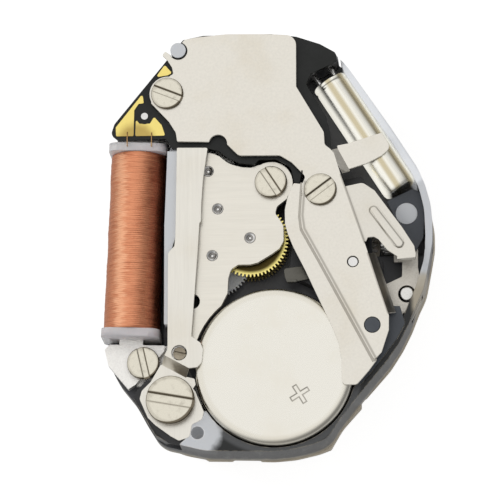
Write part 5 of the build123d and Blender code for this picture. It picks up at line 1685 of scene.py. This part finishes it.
@dataclass
class Housing:
    """Plates, board, cover, clamp and the plastic guards."""

    def build(self, frame: Frame) -> None:
        """Dresses the plates, board, cover, clamp and guards.

        Args:
            frame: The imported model.
        """
        frame.smooth(Palette.MILKY, "main_plate")
        frame.smooth(Palette.DIAL, "dial_plate")
        frame.smooth(Palette.BOARD, "circuit_board")
        frame.smooth(Palette.GOLD, "board_pads")
        frame.smooth(Palette.BLACK, "integrated_circuit")
        frame.smooth(Palette.COVER, "cover_plate")
        frame.smooth(Palette.CLAMP, "cell_clamp")
        frame.smooth(Palette.BLACK, "foot_insulator", "circuit_frame")
        frame.smooth(Palette.SLATE, "side_cover", "cell_guard")


@dataclass
class Lamp:
    """Square soft light that faces the movement's origin and isn't seen itself, nor mirrored."""

    name: str
    spot: tuple[float, float, float]
    size: float
    power: float
    colour: Colour

    def build(self) -> None:
        """Adds the light to the scene."""
        data = bpy.data.lights.new(self.name, "AREA")
        data.shape = "SQUARE"
        data.size = self.size * MM
        data.energy = self.power
        data.color = self.colour
        lamp = bpy.data.objects.new(self.name, data)
        lamp.location = [value * MM for value in self.spot]
        lamp.rotation_mode = "QUATERNION"
        lamp.rotation_quaternion = (-Vector(self.spot)).to_track_quat("-Z", "Y")
        lamp.visible_camera = False
        lamp.visible_glossy = False
        bpy.context.scene.collection.objects.link(lamp)


@dataclass
class Studio:
    """Pale floor, soft lights and the camera."""

    target: tuple[float, float, float] = (-0.06, -0.31, 1.65)
    tilt: tuple[float, float] = (3.7, -13.0)
    distance: float = 170.0
    pixels_per_mm: float = 23.5
    picture: float = 500.0
    sensor: float = 36.0
    clip: Range = (0.01, 10.0)
    floor_height: float = -1.47
    floor_half: float = 2000.0
    paper: tuple[Colour, Colour] = ((0.90, 0.90, 0.90), (0.92, 0.92, 0.92))
    paper_scale: float = 60.0
    paper_roughness: float = 0.9
    floor_glow: float = 0.50
    seen_glow: float = 1.00
    seen_share: float = 0.55
    unseen_more: float = 0.25
    bright_side: tuple[float, float, float] = (-0.58, 0.40, 0.71)
    towards: Range = (-0.15, 0.78)
    mirrored: Range = (0.26, 1.06)
    ambient: float = 0.50
    lamps: tuple[Lamp, ...] = (
        Lamp("key", (-95.0, 45.0, 75.0), 60.0, 0.042, (1.0, 0.99, 0.97)),
        Lamp("fill", (70.0, -30.0, 80.0), 50.0, 0.006, (0.97, 0.98, 1.0)),
    )

    def camera(self) -> None:
        """Places the camera: it looks back along (tan a, tan b, 1) from the target, with +Y up."""
        back = np.array([*(math.tan(math.radians(angle)) for angle in self.tilt), 1.0])
        back /= np.linalg.norm(back)
        right = np.cross([0.0, 1.0, 0.0], back)
        right /= np.linalg.norm(right)
        data = bpy.data.cameras.new("camera")
        data.sensor_width = self.sensor
        data.lens = self.pixels_per_mm * self.distance * self.sensor / self.picture
        data.clip_start, data.clip_end = self.clip
        camera = bpy.data.objects.new("camera", data)
        place = np.eye(4)
        place[:3, 0], place[:3, 1], place[:3, 2] = right, np.cross(back, right), back
        place[:3, 3] = (np.array(self.target) + back * self.distance) * MM
        camera.matrix_world = Matrix(place.tolist())
        bpy.context.scene.collection.objects.link(camera)
        bpy.context.scene.camera = camera

    def floor(self) -> None:
        """Plain pale floor: brighter to the camera where nothing shades it, and clear from below."""
        corners = np.array([[-1, -1], [1, -1], [1, 1], [-1, 1]]) * self.floor_half
        points = np.hstack([corners, np.full((4, 1), self.floor_height)])
        piece = solid("floor", points, [np.array([[0, 1, 2, 3]])])
        graph = Graph("floor_paper")
        shade = graph.mix(graph.noise(graph.place(), self.paper_scale), *self.paper)
        paper = graph.node("BsdfPrincipled", None, {"Base Color": shade, "Roughness": self.paper_roughness})
        seen = graph.node("LightPath", output="Is Camera Ray")
        strength = seen * self.seen_glow + self.floor_glow
        glow = graph.node("Emission", None, {"Color": FULL_WHITE, "Strength": strength})
        share = self.seen_share + (1.0 - seen) * self.unseen_more
        lit = graph.node("MixShader", None, {0: share, 1: paper, 2: glow})
        under = graph.node("NewGeometry", output="Backfacing")
        clear = graph.node("BsdfTransparent")
        graph.close(graph.node("MixShader", None, {0: under, 1: lit, 2: clear}))
        piece.data.materials.append(graph.owner)

    def world(self) -> None:
        """White to the camera and through glass, bright on one side to gloss, and even grey to the rest."""
        world = bpy.data.worlds.new("studio")
        bpy.context.scene.world = world
        graph = Graph(world)
        camera, glossy, clear = (
            graph.node("LightPath", output=name)
            for name in ("Is Camera Ray", "Is Glossy Ray", "Is Transmission Ray")
        )
        x, y, z = graph.parts(graph.node("TexCoord", output="Generated"))
        bright = np.array(self.bright_side) / np.linalg.norm(self.bright_side)
        side = x * float(bright[0]) + y * float(bright[1]) + z * float(bright[2])
        shown = graph.least(camera + clear, 1.0)
        glow = graph.between(graph.band(side, *self.towards), *self.mirrored)
        strength = shown + (1.0 - shown) * (glossy * glow + (1.0 - glossy) * self.ambient)
        background = graph.node("Background", None, {"Color": FULL_WHITE, "Strength": strength})
        graph.close(background, "OutputWorld")

    def build(self) -> None:
        """Builds the whole studio."""
        self.camera()
        self.floor()
        self.world()
        for lamp in self.lamps:
            lamp.build()
        bpy.context.scene.view_settings.view_transform = "Standard"


def main() -> None:
    """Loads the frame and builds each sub-assembly in order."""
    logging.basicConfig(level=logging.INFO, format="%(message)s")
    frame = Frame(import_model())
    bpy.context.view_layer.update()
    Studio().build()
    for assembly in (Housing(), GearTrain(), Setting(), Coil(), Crystal(), Cell(), Fasteners()):
        assembly.build(frame)
        LOG.info("%s built", type(assembly).__name__)


if __name__ == "__main__":
    main()
